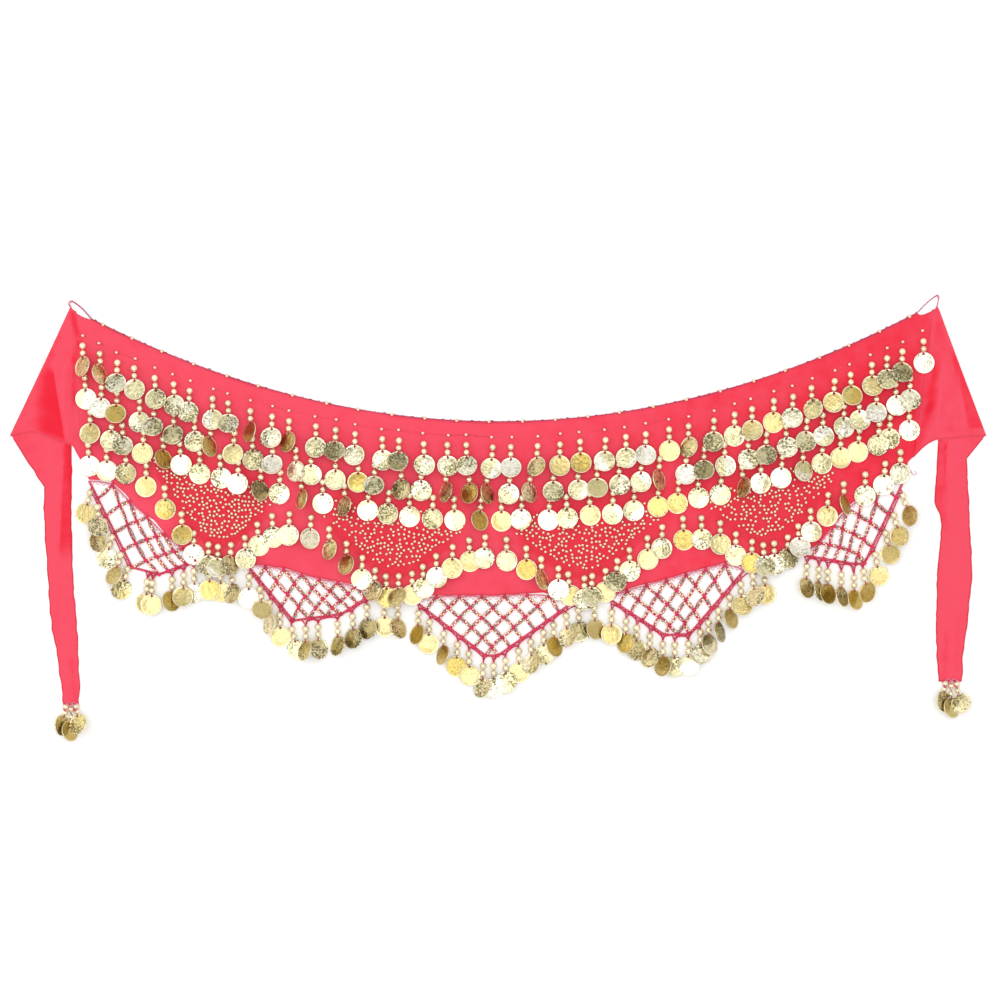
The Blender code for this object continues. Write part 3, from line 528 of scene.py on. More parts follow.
# Stamped relief: soft edges as shares of the coin's radius, and heights.
RIM_EDGE = (0.90, 0.94)
RIM_RISE = 0.34
DOTS = 16
DOTS_PLACE = 0.83
DOTS_WIDTH = 0.06
DOTS_RISE = 0.16
LEAF_OUTER = (0.72, 0.60)
LEAF_INNER = (0.14, 0.26)
LEAF_RISE = 0.26
LEAF_FALL = 0.4
RING_WIDTH = 0.05
RING_RISE = 0.15
BOSS_EDGE = (0.16, 0.06)
BOSS_RISE = 0.2
CRUMPLE = 0.12
CRUMPLE_SCALE = 4.5
CRUMPLE_EDGE = (0.98, 0.85)
CRUMPLE_SHIFTS = 50.0

# How a coin can lie: the height of its hole above what it lies on, and its slope.
Lie = namedtuple("Lie", "hole slope")
LIES = (
    Lie(1.5, -0.04),
    Lie(2.2, 0.0),
    Lie(3.2, 0.05),
    Lie(3.8, 0.12),
    Lie(4.0, 0.18),
    Lie(4.3, 0.25),
    Lie(4.6, 0.33),
    Lie(5.2, 0.40),
    Lie(6.0, 0.45),
    Lie(7.0, 0.50),
    Lie(8.2, 0.55),
)

# Further turns of a strand in degrees, and shares of its coin's roll, in the order they are tried.
SWINGS = (0.0, 5.0, -5.0, 10.0, -10.0, 15.0, -15.0, 20.0, -20.0)
ROLL_SHARES = (1.0, 0.7, 0.4, 0.1)
LINE_TRIES = 6

# How far the coins' tests keep them apart.
COIN_SPARE = 0.6
COIN_NEAR = 1.0
COIN_EDGE_SPARE = 0.3
COIN_TURNS = 14
COIN_CIRCLES = (0.4, 0.75, 1.0)
BEAD_OVERLAP = 0.6
BEAD_SPARE = 0.25
HIGHEST = 19.4
# Random stray of the roots, lean in degrees, roll in degrees, and the share of turned coins.
ROW_STRAY = 1.9
ROW_RISE = 1.0
ROW_LEAN = 4.0
ROLL_FLAT = 7.0
ROLL_TURNED = (25.0, 56.0)
CLOTH_TURNED = 0.18
FRINGE_TURNED = 0.45

# ------------------------------------------------------------------ colours and finishes

LIGHT_RED = (0.80, 0.070, 0.115)
DEEP_RED = (0.76, 0.012, 0.033)
SHADED_RED = (0.60, 0.018, 0.034)
CLOUD_DEPTH = 0.75
SHEEN_PINK = (1.0, 0.45, 0.55, 1.0)
WEAVE_SCALE = 380.0
CRIMSON = (0.66, 0.012, 0.075, 1.0)
DEEP_CRIMSON = (0.42, 0.006, 0.03, 1.0)
PINK = (0.80, 0.22, 0.32, 1.0)
PALE_PINK = (0.86, 0.48, 0.54, 1.0)
PLUM = (0.34, 0.014, 0.085, 1.0)
LILAC = (0.70, 0.42, 0.56, 1.0)
CLOTH_THREAD = (0.76, 0.04, 0.085, 1.0)
FIBRE_PINK = (0.9, 0.20, 0.30)
FIBRE_SHARE = 0.25
THREAD_SHEEN = (1.0, 0.5, 0.6, 1.0)
CHAMPAGNE = (0.96, 0.85, 0.59, 1.0)
DARK_SEED = (0.40, 0.36, 0.26, 1.0)
SEED_CREAM = (0.93, 0.68, 0.52, 1.0)
NET_SEED_COLOURS = (CHAMPAGNE, SEED_CREAM, DARK_SEED)
NET_SEED_SHARES = (0.35, 0.25, 0.40)
BEAD_SPOTS = (0.66, 0.48, 0.24)
PATINA = (0.15, 0.13, 0.07)
PATINA_LIMIT = 0.75
PATINA_GAIN = 0.33
DENTS_HEIGHT = 0.8
GRAIN_HEIGHT = 0.5
FLOOR_WHITE = (0.96, 0.96, 0.96, 1.0)

# Finishes of gilt coins: the colour of each of two sides, the one lighter than the other as a
# painted reflection, and how strong the stamped marks are.
FinishAndReflection = namedtuple("FinishAndReflection", "colour other wear")
BRIGHT = FinishAndReflection((0.95, 0.91, 0.80), (0.74, 0.68, 0.42), 0.60)
STAMPED = FinishAndReflection((0.90, 0.86, 0.66), (0.74, 0.68, 0.42), 0.90)
PALE = FinishAndReflection((0.66, 0.57, 0.29), (0.60, 0.48, 0.21), 0.40)
YELLOW = FinishAndReflection((0.62, 0.45, 0.12), (0.66, 0.54, 0.19), 0.55)
ANTIQUE = FinishAndReflection((0.60, 0.54, 0.33), (0.42, 0.35, 0.18), 1.10)
CLOTH_FINISHES = ((BRIGHT, 0.36), (STAMPED, 0.31), (PALE, 0.17), (YELLOW, 0.07), (ANTIQUE, 0.09))
FRINGE_FINISHES = ((BRIGHT, 0.12), (STAMPED, 0.34), (PALE, 0.28), (YELLOW, 0.12), (ANTIQUE, 0.14))
# Painted reflection of a coin turned on its thread: a more golden tone than a flat coin's.
TURNED_REFLECTION_TONE = (0.97, 0.86, 0.62)
HOLLOW_TONE = (0.29, 0.26, 0.115)
RIM_TONE = (0.95, 0.88, 0.68)
# The turn at which a coin has the full tone of its painted turned reflection, and the spread of the
# coins' brightness.
TURNED_REFLECTION_FULL = 50.0
COIN_TONES = (0.94, 1.04)
# How the two colours of a coin part, a painted reflection that lights one side more than the other,
# and how its wear differs from side to side.
SIDE_SOFT = 0.3
REFLECTION_PLACES = (-1.0, 1.3)
WORN_LEAST = 0.55
WORN_PLACES = (-0.5, 0.5)
WORN_ALPHA = 0.8
# Dark marks: noise at two scales and the relief's hollows, inside the rim.
Marks = namedtuple("Marks", "scale shift weight")
MARKS = (Marks(2.4, 0.0, 0.7), Marks(5.5, 7.0, 1.1))
MARKS_HOLLOW = 0.12
MARKS_HOLLOW_WEIGHT = 0.35
MARKS_FROM = 0.02
MARKS_SOFT = 0.28
MARKS_REACH = 0.92
MARKS_DEPTH = 0.9
MARKS_SHIFTS = 90.0
RIM_SHADE = (0.88, 0.06, 0.6)

# ------------------------------------------------------------------ studio

FLOOR_HALF = 6.0
WORLD_LIGHT = 0.92
# Soft boxes in metres: where each hangs, its side, and its radiance.
Softbox = namedtuple("Softbox", "name place side radiance")
SOFTBOXES = (
    Softbox("overhead", (0.0, 0.1, 2.6), 2.2, 1.5),
    Softbox("side", (-2.2, 0.8, 1.4), 1.2, 1.3),
)
CAMERA_PLACE = (0.002, 0.0166, 2.127)
CAMERA_LENS = 85.0
CAMERA_SENSOR = 36.0
CAMERA_NEAR = 0.05

# ------------------------------------------------------------------ small helpers


def mix(start, end, share):
    return start + (end - start) * share


def mix_point(start, end, share):
    return (mix(start[0], end[0], share), mix(start[1], end[1], share))


def smooth(low, high, value):
    """0 below the low value, 1 above the high one and a soft step between."""
    share = min(max((value - low) / (high - low), 0.0), 1.0)
    return share * share * (3.0 - 2.0 * share)


def look_up(table, key):
    """Straight-line reading of a two-column table whose first column rises or falls."""
    if table[0][0] > table[-1][0]:
        table = table[::-1]
    if key <= table[0][0]:
        return table[0][1]
    for (key_low, low), (key_high, high) in zip(table, table[1:]):
        if key <= key_high:
            return mix(low, high, (key - key_low) / (key_high - key_low))
    return table[-1][1]


def path_length(path):
    return sum(math.dist(a, b) for a, b in zip(path, path[1:]))


def direction_of(start, end):
    length = math.dist(start, end)
    return ((end[0] - start[0]) / length, (end[1] - start[1]) / length)


def point_along(path, distance):
    """Point and unit direction at a distance along a path."""
    for a, b in zip(path, path[1:]):
        step = math.dist(a, b)
        if distance <= step or b is path[-1]:
            direction = direction_of(a, b)
            return moved(a, direction, distance), direction
        distance -= step


def right_of(direction):
    return (direction[1], -direction[0])


def moved(point, direction, distance):
    return (point[0] + direction[0] * distance, point[1] + direction[1] * distance)


def offset_path(path, distance):
    """The path moved to its right by a distance, with mitred corners."""
    sides = [right_of(direction_of(a, b)) for a, b in zip(path, path[1:])]
    sides = [sides[0]] + sides + [sides[-1]]
    result = []
    for point, before, after in zip(path, sides, sides[1:]):
        reach = distance / (1.0 + before[0] * after[0] + before[1] * after[1])
        result.append(moved(point, (before[0] + after[0], before[1] + after[1]), reach))
    return result


def unit(vector):
    return vector / np.linalg.norm(vector)


def straight(points, parts):
    """Straight spans through points, with each span cut into parts."""
    points = [np.array(point, float) for point in points]
    cut = [mix(a, b, part / parts) for a, b in zip(points, points[1:]) for part in range(parts)]
    return np.array(cut + [points[-1]])


def rounded(points, parts):
    """A smooth curve through points, with each span cut into parts."""
    points = [np.array(point, float) for point in points]
    ends = [2 * points[0] - points[1]] + points + [2 * points[-1] - points[-2]]
    curve = []
    for a, b, c, d in zip(ends, ends[1:], ends[2:], ends[3:]):
        for part in range(parts):
            t = part / parts
            square = (2 * a - 5 * b + 4 * c - d) * t**2
            cube = (3 * b - a - 3 * c + d) * t**3
            curve.append(0.5 * (2 * b + (c - a) * t + square + cube))
    curve.append(points[-1])
    return np.array(curve)


def at_height(path, z):
    return [(x, y, z) for x, y in path]


# ------------------------------------------------------------------ the scarf's lines


def waist_y(x, inset=0.0):
    """Waist edge of the whole belt, or a line set in from it by an inset."""
    slope = 2 * WAIST_RISE * x / WAIST_HALF**2
    return WAIST_LOW + WAIST_RISE * (x / WAIST_HALF) ** 2 - inset * math.hypot(1.0, slope)


def hem_y(x):
    return look_up(HEM, x)


def side_bow(side, row):
    """How far a side edge bows from the straight line between its two ends."""
    (y_waist, x_waist), (y_hem, x_hem) = side[0], side[-1]
    return look_up(side, mix(y_waist, y_hem, row)) - mix(x_waist, x_hem, row)


def fan_depth(x):
    """Depth below the ridges, as a share of the fan's depth and in millimetres."""
    for ridge, following in zip(RIDGES, RIDGES[1:]):
        if ridge.fan_depth and ridge.x <= x <= following.x:
            turn = 2 * math.pi * (x - ridge.x) / (following.x - ridge.x)
            share = (0.5 - 0.5 * math.cos(turn)) ** FAN_ROUNDNESS
            return share, share * ridge.fan_depth
    return 0.0, 0.0


def wave_y(x):
    below = look_up([(ridge.x, ridge.below) for ridge in RIDGES], x)
    return waist_y(x) - below - fan_depth(x)[1]


def row_y(row, x):
    return waist_y(x) - mix(row.below_middle, row.below_end, (x / WAIST_HALF) ** 2)


def hem_path(x_left, x_right, offset):
    """Hem between two places, moved out from the cloth by an offset."""
    xs = [x_left] + [x for x, _ in HEM if x_left < x < x_right] + [x_right]
    return offset_path([(x, hem_y(x)) for x in xs], offset)


def net_knot(net, across, down):
    """Knot of a net, by its place across the row and its row down from the hem."""
    top = hem_path(net.x_left, net.x_right, NET_HEM_OFFSET)
    share = across / (net.meshes - down)
    fall = down / net.depth
    on_hem, _ = point_along(top, share * path_length(top))
    on_chord = mix_point(top[0], top[-1], share)
    left = mix_point(top[0], net.tip_left, fall)
    right = mix_point(top[-1], net.tip_right, fall)
    x, y = mix_point(left, right, share)
    bend = (1.0 - fall) ** 2
    return (x + bend * (on_hem[0] - on_chord[0]), y + bend * (on_hem[1] - on_chord[1]))


def fringe_chain(fringe):
    """Knots of the net's outer chain on the fringe's side, then along the hem."""
    net = NETS[fringe.net - 1]
    rows = range(net.depth + 1)
    if fringe.side == "left":
        chain = [net_knot(net, 0, down) for down in rows]
    else:
        lowest = [net_knot(net, across, net.depth) for across in range(net.meshes - net.depth)]
        following = net_knot(net, 1, net.depth)
        chain = [mix_point(lowest[0], following, 0.5), *lowest[1:]]
        chain += [net_knot(net, net.meshes - down, down) for down in reversed(rows)]
    if fringe.hem_to_x is not None:
        chain += hem_path(net.x_right + FRINGE_HEM_STEP, fringe.hem_to_x, NET_HEM_OFFSET)[1:]
    return chain


def fringe_path(fringe):
    return offset_path(fringe_chain(fringe), NET_CHAIN / 2 + FRINGE_GAP + STRIP_WIDTH / 2)


def off_bends(path, distance):
    """A distance along a path, moved where a drop would stand on one of its corners."""
    bend = 0.0
    for before, here, after in zip(path, path[1:], path[2:]):
        bend += math.dist(before, here)
        one, other = direction_of(before, here), direction_of(here, after)
        turn = one[0] * other[1] - one[1] * other[0]
        if abs(turn) > STRIP_BEND and abs(distance - bend) < BEND_SPARE:
            return bend + math.copysign(BEND_SPARE, distance - bend)
    return distance


# ------------------------------------------------------------------ cloth heights


def wave_height(x, y, waves):
    """How far soft waves lift a place."""
    height = 0.0
    for wave in waves:
        place = (x * wave.stretch_x / wave.length, y * wave.stretch_y / wave.length, wave.seed)
        height += wave.height * noise.noise(Vector(place))
    return height


def along_and_away(x, y, start, end):
    """Where a place lies by a line: the share of the way along it, and how far from it."""
    along_x, along_y = end[0] - start[0], end[1] - start[1]
    step_x, step_y = x - start[0], y - start[1]
    length = math.hypot(along_x, along_y)
    share = (step_x * along_x + step_y * along_y) / length**2
    return share, abs(step_x * along_y - step_y * along_x) / length


def cloth_top(x, y):
    """Height of the panel's face, with its creases, away from its edges."""
    height = 0.0
    for crease in CREASES:
        share, away = along_and_away(x, y, crease[0:2], crease[2:4])
        if 0.0 < share < 1.0 and away < crease.width:
            across = math.cos(0.5 * math.pi * away / crease.width) ** 2
            height += crease.height * math.sin(math.pi * share) * across
    return CLOTH + height


def bare_floor(x, y):
    """Height of the floor, which fringe and tie coins lie on."""
    return 0.0


# ------------------------------------------------------------------ meshes


class Batch:
    """Points, faces and per-point colours gathered for one joined mesh."""

    def __init__(self):
        self.points = []
        self.colours = []
        self.faces = []
        self.slots = []
        self.count = 0

    def add(self, points, faces, colour, slot=0):
        """Adds a part with one colour, or one for each point, and its material's slot."""
        points = np.asarray(points, float)
        self.points.append(points)
        self.colours.append(np.broadcast_to(np.asarray(colour, float), (len(points), 4)))
        self.faces += [tuple(index + self.count for index in face) for face in faces]
        self.slots += [slot] * len(faces)
        self.count += len(points)

    def build(self, name, materials):
        mesh = bpy.data.meshes.new(name)
        points = np.concatenate(self.points) * MM
        mesh.from_pydata(points.tolist(), [], self.faces)
        for material in materials:
            mesh.materials.append(material)
        mesh.polygons.foreach_set("material_index", self.slots)
        mesh.polygons.foreach_set("use_smooth", [True] * len(self.faces))
        tint = mesh.color_attributes.new("tint", "FLOAT_COLOR", "POINT")
        tint.data.foreach_set("color", np.concatenate(self.colours).ravel())
        item = bpy.data.objects.new(name, mesh)
        bpy.context.scene.collection.objects.link(item)
        return item


def grid_faces(rows, columns, closed=False):
    """Faces of a grid of points stored row by row."""
    faces = []
    for row in range(rows - 1):
        for column in range(columns if closed else columns - 1):
            following = (column + 1) % columns
            a, b = row * columns, (row + 1) * columns
            faces.append((a + column, a + following, b + following, b + column))
    return faces


def turned_over(faces):
    return [tuple(reversed(face)) for face in faces]


def ahead_of(line):
    """Unit directions along a line of points."""
    ahead = np.gradient(line, axis=0)
    return ahead / np.maximum(np.linalg.norm(ahead, axis=1), 1e-9)[:, None]


def tube(line, radius, sides):
    """Points and faces of a tube round a line of points."""
    line = np.asarray(line, float)
    ahead = ahead_of(line)
    side = np.cross(ahead, UP)
    side[np.linalg.norm(side, axis=1) < STEEP] = (1.0, 0.0, 0.0)
    side /= np.linalg.norm(side, axis=1)[:, None]
    above = np.cross(side, ahead)
    turns = 2 * math.pi * np.arange(sides) / sides
    across = np.cos(turns)[None, :, None] * side[:, None]
    ring = across + np.sin(turns)[None, :, None] * above[:, None]
    points = (line[:, None] + radius * ring).reshape(-1, 3)
    faces = turned_over(grid_faces(len(line), sides, closed=True))
    last = (len(line) - 1) * sides
    faces.append(tuple(range(sides)))
    faces.append(tuple(last + k for k in reversed(range(sides))))
    return points, faces


def add_thread(batch, points, parts, radius, colour, slot=0):
    """A single thread on a smooth curve through points."""
    batch.add(*tube(rounded(points, parts), radius, THREAD_SIDES), colour, slot)


def add_ply(batch, line, ply, colour):
    """A two-ply thread along a line: each ply winds round it."""
    line = np.asarray(line, float)
    gaps = np.linalg.norm(np.diff(line, axis=0), axis=1)
    along = np.concatenate(([0.0], np.cumsum(gaps)))
    count = max(4, int(along[-1] / ply.pitch * PLY_STEPS) + 1)
    at = np.linspace(0.0, along[-1], count)
    middle = np.stack([np.interp(at, along, line[:, axis]) for axis in range(3)], axis=1)
    ahead = ahead_of(middle)
    side = np.cross(ahead, UP)
    side /= np.maximum(np.linalg.norm(side, axis=1), STEEP)[:, None]
    above = np.cross(side, ahead)
    for start in (0.0, math.pi):
        turn = 2 * math.pi * at / ply.pitch + start
        out = np.cos(turn)[:, None] * side + np.sin(turn)[:, None] * above
        wound = middle + PLY_SPREAD * ply.thick * out
        batch.add(*tube(wound, PLY_RADIUS * ply.thick, PLY_SIDES), colour)


def add_chain(batch, path, z, chain, colour, slot=0):
    """A crochet chain along a flat path: each stitch is a loop whose legs make a V."""
    length = path_length(path)
    count = max(1, round(length / chain.pitch))
    pitch = length / count
    for stitch in range(count):
        for side in (-1.0, 1.0):
            points = []
            for share, reach, lift in CHAIN_LEGS:
                distance = min((stitch + share) * pitch, length)
                place, direction = point_along(path, distance)
                place = moved(place, right_of(direction), side * reach * chain.reach)
                points.append((*place, z + lift * chain.thick * CHAIN_RISE))
            add_thread(batch, points, 2, chain.thick, colour, slot)


def ball_template(columns, rows, squash=1.0):
    """Unit ball with its poles on Z."""
    points = [(0.0, 0.0, squash)]
    for row in range(1, rows):
        polar = math.pi * row / rows
        for column in range(columns):
            turn = 2 * math.pi * column / columns
            x, y = math.sin(polar) * math.cos(turn), math.sin(polar) * math.sin(turn)
            points.append((x, y, squash * math.cos(polar)))
    points.append((0.0, 0.0, -squash))
    last = len(points) - 1
    faces = []
    for column in range(columns):
        following = (column + 1) % columns
        faces.append((0, 1 + column, 1 + following))
        for row in range(rows - 2):
            a, b = 1 + row * columns, 1 + (row + 1) * columns
            faces.append((a + column, b + column, b + following, a + following))
        base = 1 + (rows - 2) * columns
        faces.append((last, base + following, base + column))
    return np.array(points), faces


def ring_template(columns, sides, tube_share, height):
    """Ring of outer radius 1 round the Z axis, as a small bead with its hole."""
    middle = 1.0 - tube_share
    points = []
    for column in range(columns):
        turn = 2 * math.pi * column / columns
        out = np.array((math.cos(turn), math.sin(turn), 0.0))
        for side in range(sides):
            angle = 2 * math.pi * side / sides
            rise = np.array((0.0, 0.0, height * math.sin(angle)))
            points.append(middle * out + tube_share * (math.cos(angle) * out + rise))
    faces = []
    for column in range(columns):
        a, b = column * sides, ((column + 1) % columns) * sides
        for side in range(sides):
            following = (side + 1) % sides
            faces.append((a + side, b + side, b + following, a + following))
    return np.array(points), faces


def frame_of(axis):
    """Three unit axes as rows, the last of them along the given axis."""
    third = unit(np.asarray(axis, float))
    first = unit(np.cross(UP, third))
    return np.stack([first, np.cross(third, first), third])


def place_template(template, centre, axes, scale):
    points, faces = template
    return (points * scale) @ axes + np.asarray(centre, float), faces


ROUND_BEAD = ball_template(columns=12, rows=8)
KNOT_BALL = ball_template(columns=8, rows=5, squash=KNOT_SQUASH)
SEED = ring_template(columns=8, sides=6, tube_share=0.42, height=1.9)


def add_seed(batch, centre, direction, slot, colour, radius=SEED_RADIUS):
    """A seed bead whose hole runs along a flat direction."""
    axes = frame_of((*direction, 0.0))
    batch.add(*place_template(SEED, centre, axes, radius), colour, slot)


def add_knot(batch, centre, size, colour):
    batch.add(*place_template(KNOT_BALL, centre, np.eye(3), size), colour)


# ------------------------------------------------------------------ materials


class Shade:
    """A material's nodes, with short ways to add and join them."""

    def __init__(self, name):
        self.material = bpy.data.materials.new(name)
        self.material.use_nodes = True
        self.nodes = self.material.node_tree.nodes
        self.links = self.material.node_tree.links
        self.shader = self.nodes["Principled BSDF"]

    def add(self, kind, **settings):
        node = self.nodes.new(kind)
        for key, value in settings.items():
            setattr(node, key, value)
        return node

    def join(self, value, socket):
        """Links an output to a socket, or sets the socket to a value."""
        if isinstance(value, (int, float)):
            socket.default_value = value
        elif isinstance(value, tuple):
            socket.default_value = (*value[:3], 1.0)
        else:
            self.links.new(value, socket)

    def set(self, **values):
        """Sets or links the shader's inputs, whose names have _ in place of a space."""
        for name, value in values.items():
            self.join(value, self.shader.inputs[name.replace("_", " ")])

    def place(self):
        return self.add("ShaderNodeTexCoord").outputs["Object"]

    def tint(self):
        return self.add("ShaderNodeVertexColor", layer_name="tint").outputs

    def noise(self, vector, scale, detail=2.0, roughness=0.5):
        node = self.add("ShaderNodeTexNoise")
        node.inputs["Scale"].default_value = scale
        node.inputs["Detail"].default_value = detail
        node.inputs["Roughness"].default_value = roughness
        self.links.new(vector, node.inputs["Vector"])
        return node.outputs["Fac"]

    def ramp(self, value, low, high):
        """A soft step from 0 to 1 between two values."""
        node = self.add("ShaderNodeMapRange", interpolation_type="SMOOTHSTEP")
        node.inputs["From Min"].default_value = low
        node.inputs["From Max"].default_value = high
        self.links.new(value, node.inputs["Value"])
        return node.outputs["Result"]

    def calculate(self, operation, first, second):
        node = self.add("ShaderNodeMath", operation=operation)
        self.join(first, node.inputs[0])
        self.join(second, node.inputs[1])
        return node.outputs["Value"]

    def blend(self, share, first, second):
        """A colour between two others."""
        node = self.add("ShaderNodeMix", data_type="RGBA")
        for name, value in (("Factor", share), ("A", first), ("B", second)):
            self.join(value, next(s for s in node.inputs if s.name == name and s.enabled))
        return next(s for s in node.outputs if s.enabled)

    def bump(self, height, strength, distance, before=None):
        """A normal bent by a height, on top of another bump where one is given."""
        node = self.add("ShaderNodeBump")
        node.inputs["Strength"].default_value = strength
        node.inputs["Distance"].default_value = distance
        self.links.new(height, node.inputs["Height"])
        if before is not None:
            self.links.new(before, node.inputs["Normal"])
        return node.outputs["Normal"]


def make_chiffon():
    """Sheer woven chiffon: its tint says how deep the colour is (red) and how shaded (green)."""
    shade = Shade("chiffon")
    place = shade.place()
    split = shade.add("ShaderNodeSeparateColor")
    shade.join(shade.tint()["Color"], split.inputs["Color"])
    cloudy = shade.noise(place, scale=60.0, detail=4.0, roughness=0.6)
    cloudy = shade.calculate("SUBTRACT", cloudy, 0.5)
    cloudy = shade.calculate("MULTIPLY", cloudy, CLOUD_DEPTH)
    depth = shade.calculate("ADD", split.outputs["Red"], cloudy)
    colour = shade.blend(shade.ramp(depth, low=0.0, high=1.0), LIGHT_RED, DEEP_RED)
    waves = []
    for direction in ("X", "Y"):
        wave = shade.add("ShaderNodeTexWave", bands_direction=direction)
        wave.inputs["Scale"].default_value = WEAVE_SCALE
        wave.inputs["Distortion"].default_value = 0.6
        wave.inputs["Detail Scale"].default_value = 2.0
        shade.join(place, wave.inputs["Vector"])
        waves.append(wave.outputs["Fac"])
    weave = shade.calculate("MULTIPLY", *waves)
    weave = shade.bump(weave, strength=0.25, distance=0.0002)
    crinkle = shade.noise(place, scale=260.0, detail=3.0, roughness=0.6)
    shade.set(
        Base_Color=shade.blend(split.outputs["Green"], colour, SHADED_RED),
        Roughness=0.72,
        Specular_IOR_Level=0.15,
        Sheen_Weight=0.08,
        Sheen_Roughness=0.4,
        Sheen_Tint=SHEEN_PINK,
        Normal=shade.bump(crinkle, strength=0.35, distance=0.0012, before=weave),
    )
    return shade.material


def make_thread():
    """Crochet cotton: its tint is its colour."""
    shade = Shade("crochet_thread")
    fibre = shade.noise(shade.place(), scale=1400.0)
    share = shade.calculate("MULTIPLY", fibre, FIBRE_SHARE)
    shade.set(
        Base_Color=shade.blend(share, shade.tint()["Color"], FIBRE_PINK),
        Roughness=0.75,
        Specular_IOR_Level=0.3,
        Sheen_Weight=0.12,
        Sheen_Tint=THREAD_SHEEN,
        Normal=shade.bump(fibre, strength=0.4, distance=0.0002),
    )
    return shade.material


def make_coin_metal():
    """Gilt coin sheet: the tint is its colour with its painted reflections, and its alpha says how
    worn its hollows are.
    """
    shade = Shade("gilt_coins")
    place = shade.place()
    tint = shade.tint()
    hammered = shade.add("ShaderNodeTexVoronoi", feature="SMOOTH_F1")
    hammered.inputs["Scale"].default_value = 620.0
    shade.join(place, hammered.inputs["Vector"])
    dents = shade.calculate("MULTIPLY", hammered.outputs["Distance"], DENTS_HEIGHT)
    grain = shade.noise(place, scale=900.0, roughness=0.6)
    grain = shade.calculate("MULTIPLY", grain, GRAIN_HEIGHT)
    limit = shade.calculate("MULTIPLY", tint["Alpha"], -PATINA_GAIN)
    limit = shade.calculate("ADD", limit, PATINA_LIMIT)
    stains = shade.noise(place, scale=640.0, detail=1.5)
    above = shade.calculate("SUBTRACT", stains, limit)
    rough = shade.add("ShaderNodeMapRange")
    rough.inputs["To Min"].default_value = 0.2
    rough.inputs["To Max"].default_value = 0.42
    shade.join(shade.noise(place, scale=330.0, roughness=0.55), rough.inputs["Value"])
    shade.set(
        Base_Color=shade.blend(shade.ramp(above, low=-0.05, high=0.13), tint["Color"], PATINA),
        Metallic=1.0,
        Roughness=rough.outputs["Result"],
        Normal=shade.bump(shade.calculate("ADD", dents, grain), strength=0.45, distance=0.0004),
    )
    return shade.material


def make_bead_metal():
    """Plated beads: the tint is their colour."""
    shade = Shade("gilt_beads")
    spots = shade.ramp(shade.noise(shade.place(), scale=500.0), low=0.5, high=0.9)
    shade.set(
        Base_Color=shade.blend(spots, shade.tint()["Color"], BEAD_SPOTS),
        Metallic=0.85,
        Roughness=0.24,
    )
    return shade.material


# ------------------------------------------------------------------ coins and their strands


def relief_height(radius, turn, petals, rings):
    """Stamped relief of a coin at a place given as a share of its radius and an angle."""
    rim = smooth(*RIM_EDGE, radius) * RIM_RISE
    dots = DOTS_RISE * smooth(DOTS_WIDTH, 0.0, abs(radius - DOTS_PLACE))
    dots *= 0.5 + 0.5 * math.cos(DOTS * turn)
    leaf = (0.5 + 0.5 * math.cos(petals * turn)) * smooth(*LEAF_OUTER, radius)
    leaf *= smooth(*LEAF_INNER, radius)
    ring = sum(smooth(RING_WIDTH, 0.0, abs(radius - share)) for share in rings)
    boss = smooth(*BOSS_EDGE, radius)
    height = rim + dots + LEAF_RISE * leaf * (1 - LEAF_FALL * radius)
    return height + RING_RISE * ring + BOSS_RISE * boss


def ring_places(rings):
    """Flat places on the rings of a disc, as shares of its radius, clear of its hole."""
    places = []
    for ring in rings:
        for index in range(ring.points):
            turn = 2 * math.pi * index / ring.points + RING_TWIST * ring.radius
            x, y = ring.radius * math.sin(turn), ring.radius * math.cos(turn)
            if math.hypot(x, y - HOLE_Y) > HOLE_CLEAR * HOLE_SHARE:
                places.append((x, y))
    return places


def disc_triangles(places):
    """Triangles between the places of a disc, left open at its hole."""
    flat = [Vector(place) for place in places]
    _, _, triangles, *_ = geometry.delaunay_2d_cdt(flat, [], [], WHOLE_HULL, SAME_PLACE)
    kept = []
    for triangle in triangles:
        middle = sum((flat[index] for index in triangle), Vector((0.0, 0.0))) / 3
        if math.hypot(middle.x, middle.y - HOLE_Y) > HOLE_SHARE * HOLE_KEPT:
            kept.append(tuple(triangle))
    return kept


def coin_template(petals, rings, seed):
    """A stamped disc with a hole near its upper edge. Returns its points, faces and relief."""
    edge = ring_places([COIN_RIM])
    for index in range(HOLE_POINTS):
        turn = 2 * math.pi * index / HOLE_POINTS
        edge.append((HOLE_SHARE * math.sin(turn), HOLE_Y + HOLE_SHARE * math.cos(turn)))
    face = edge + ring_places(FACE_RINGS)
    back = edge + ring_places(BACK_RINGS)
    shift = random.Random(seed).uniform(0.0, CRUMPLE_SHIFTS)
    points = []
    relief = []
    for x, y in face:
        radius = math.hypot(x, y)
        crumple = CRUMPLE * noise.noise(Vector((x * CRUMPLE_SCALE, y * CRUMPLE_SCALE, shift)))
        crumple *= smooth(*CRUMPLE_EDGE, radius)
        height = relief_height(radius, math.atan2(x, y), petals, rings) + crumple
        points.append((x * COIN_RADIUS, y * COIN_RADIUS, COIN_THICK / 2 + height))
        relief.append(height)
    points += [(x * COIN_RADIUS, y * COIN_RADIUS, -COIN_THICK / 2) for x, y in back]
    relief += [BACK_RELIEF] * len(back)
    upper = disc_triangles(face)
    first = len(face)
    lower = [tuple(first + index for index in corners) for corners in disc_triangles(back)]
    edges = {(a, b) for corners in upper for a, b in zip(corners, corners[1:] + corners[:1])}
    wall = [(b, a, first + a, first + b) for a, b in sorted(edges) if (b, a) not in edges]
    return np.array(points), upper + turned_over(lower) + wall, np.array(relief)


# Four kinds of stamping.
COINS = (
    coin_template(petals=8, rings=(0.40,), seed=1),
    coin_template(petals=12, rings=(0.74,), seed=2),
    coin_template(petals=6, rings=(0.5, 0.3), seed=3),
    coin_template(petals=10, rings=(), seed=4),
)


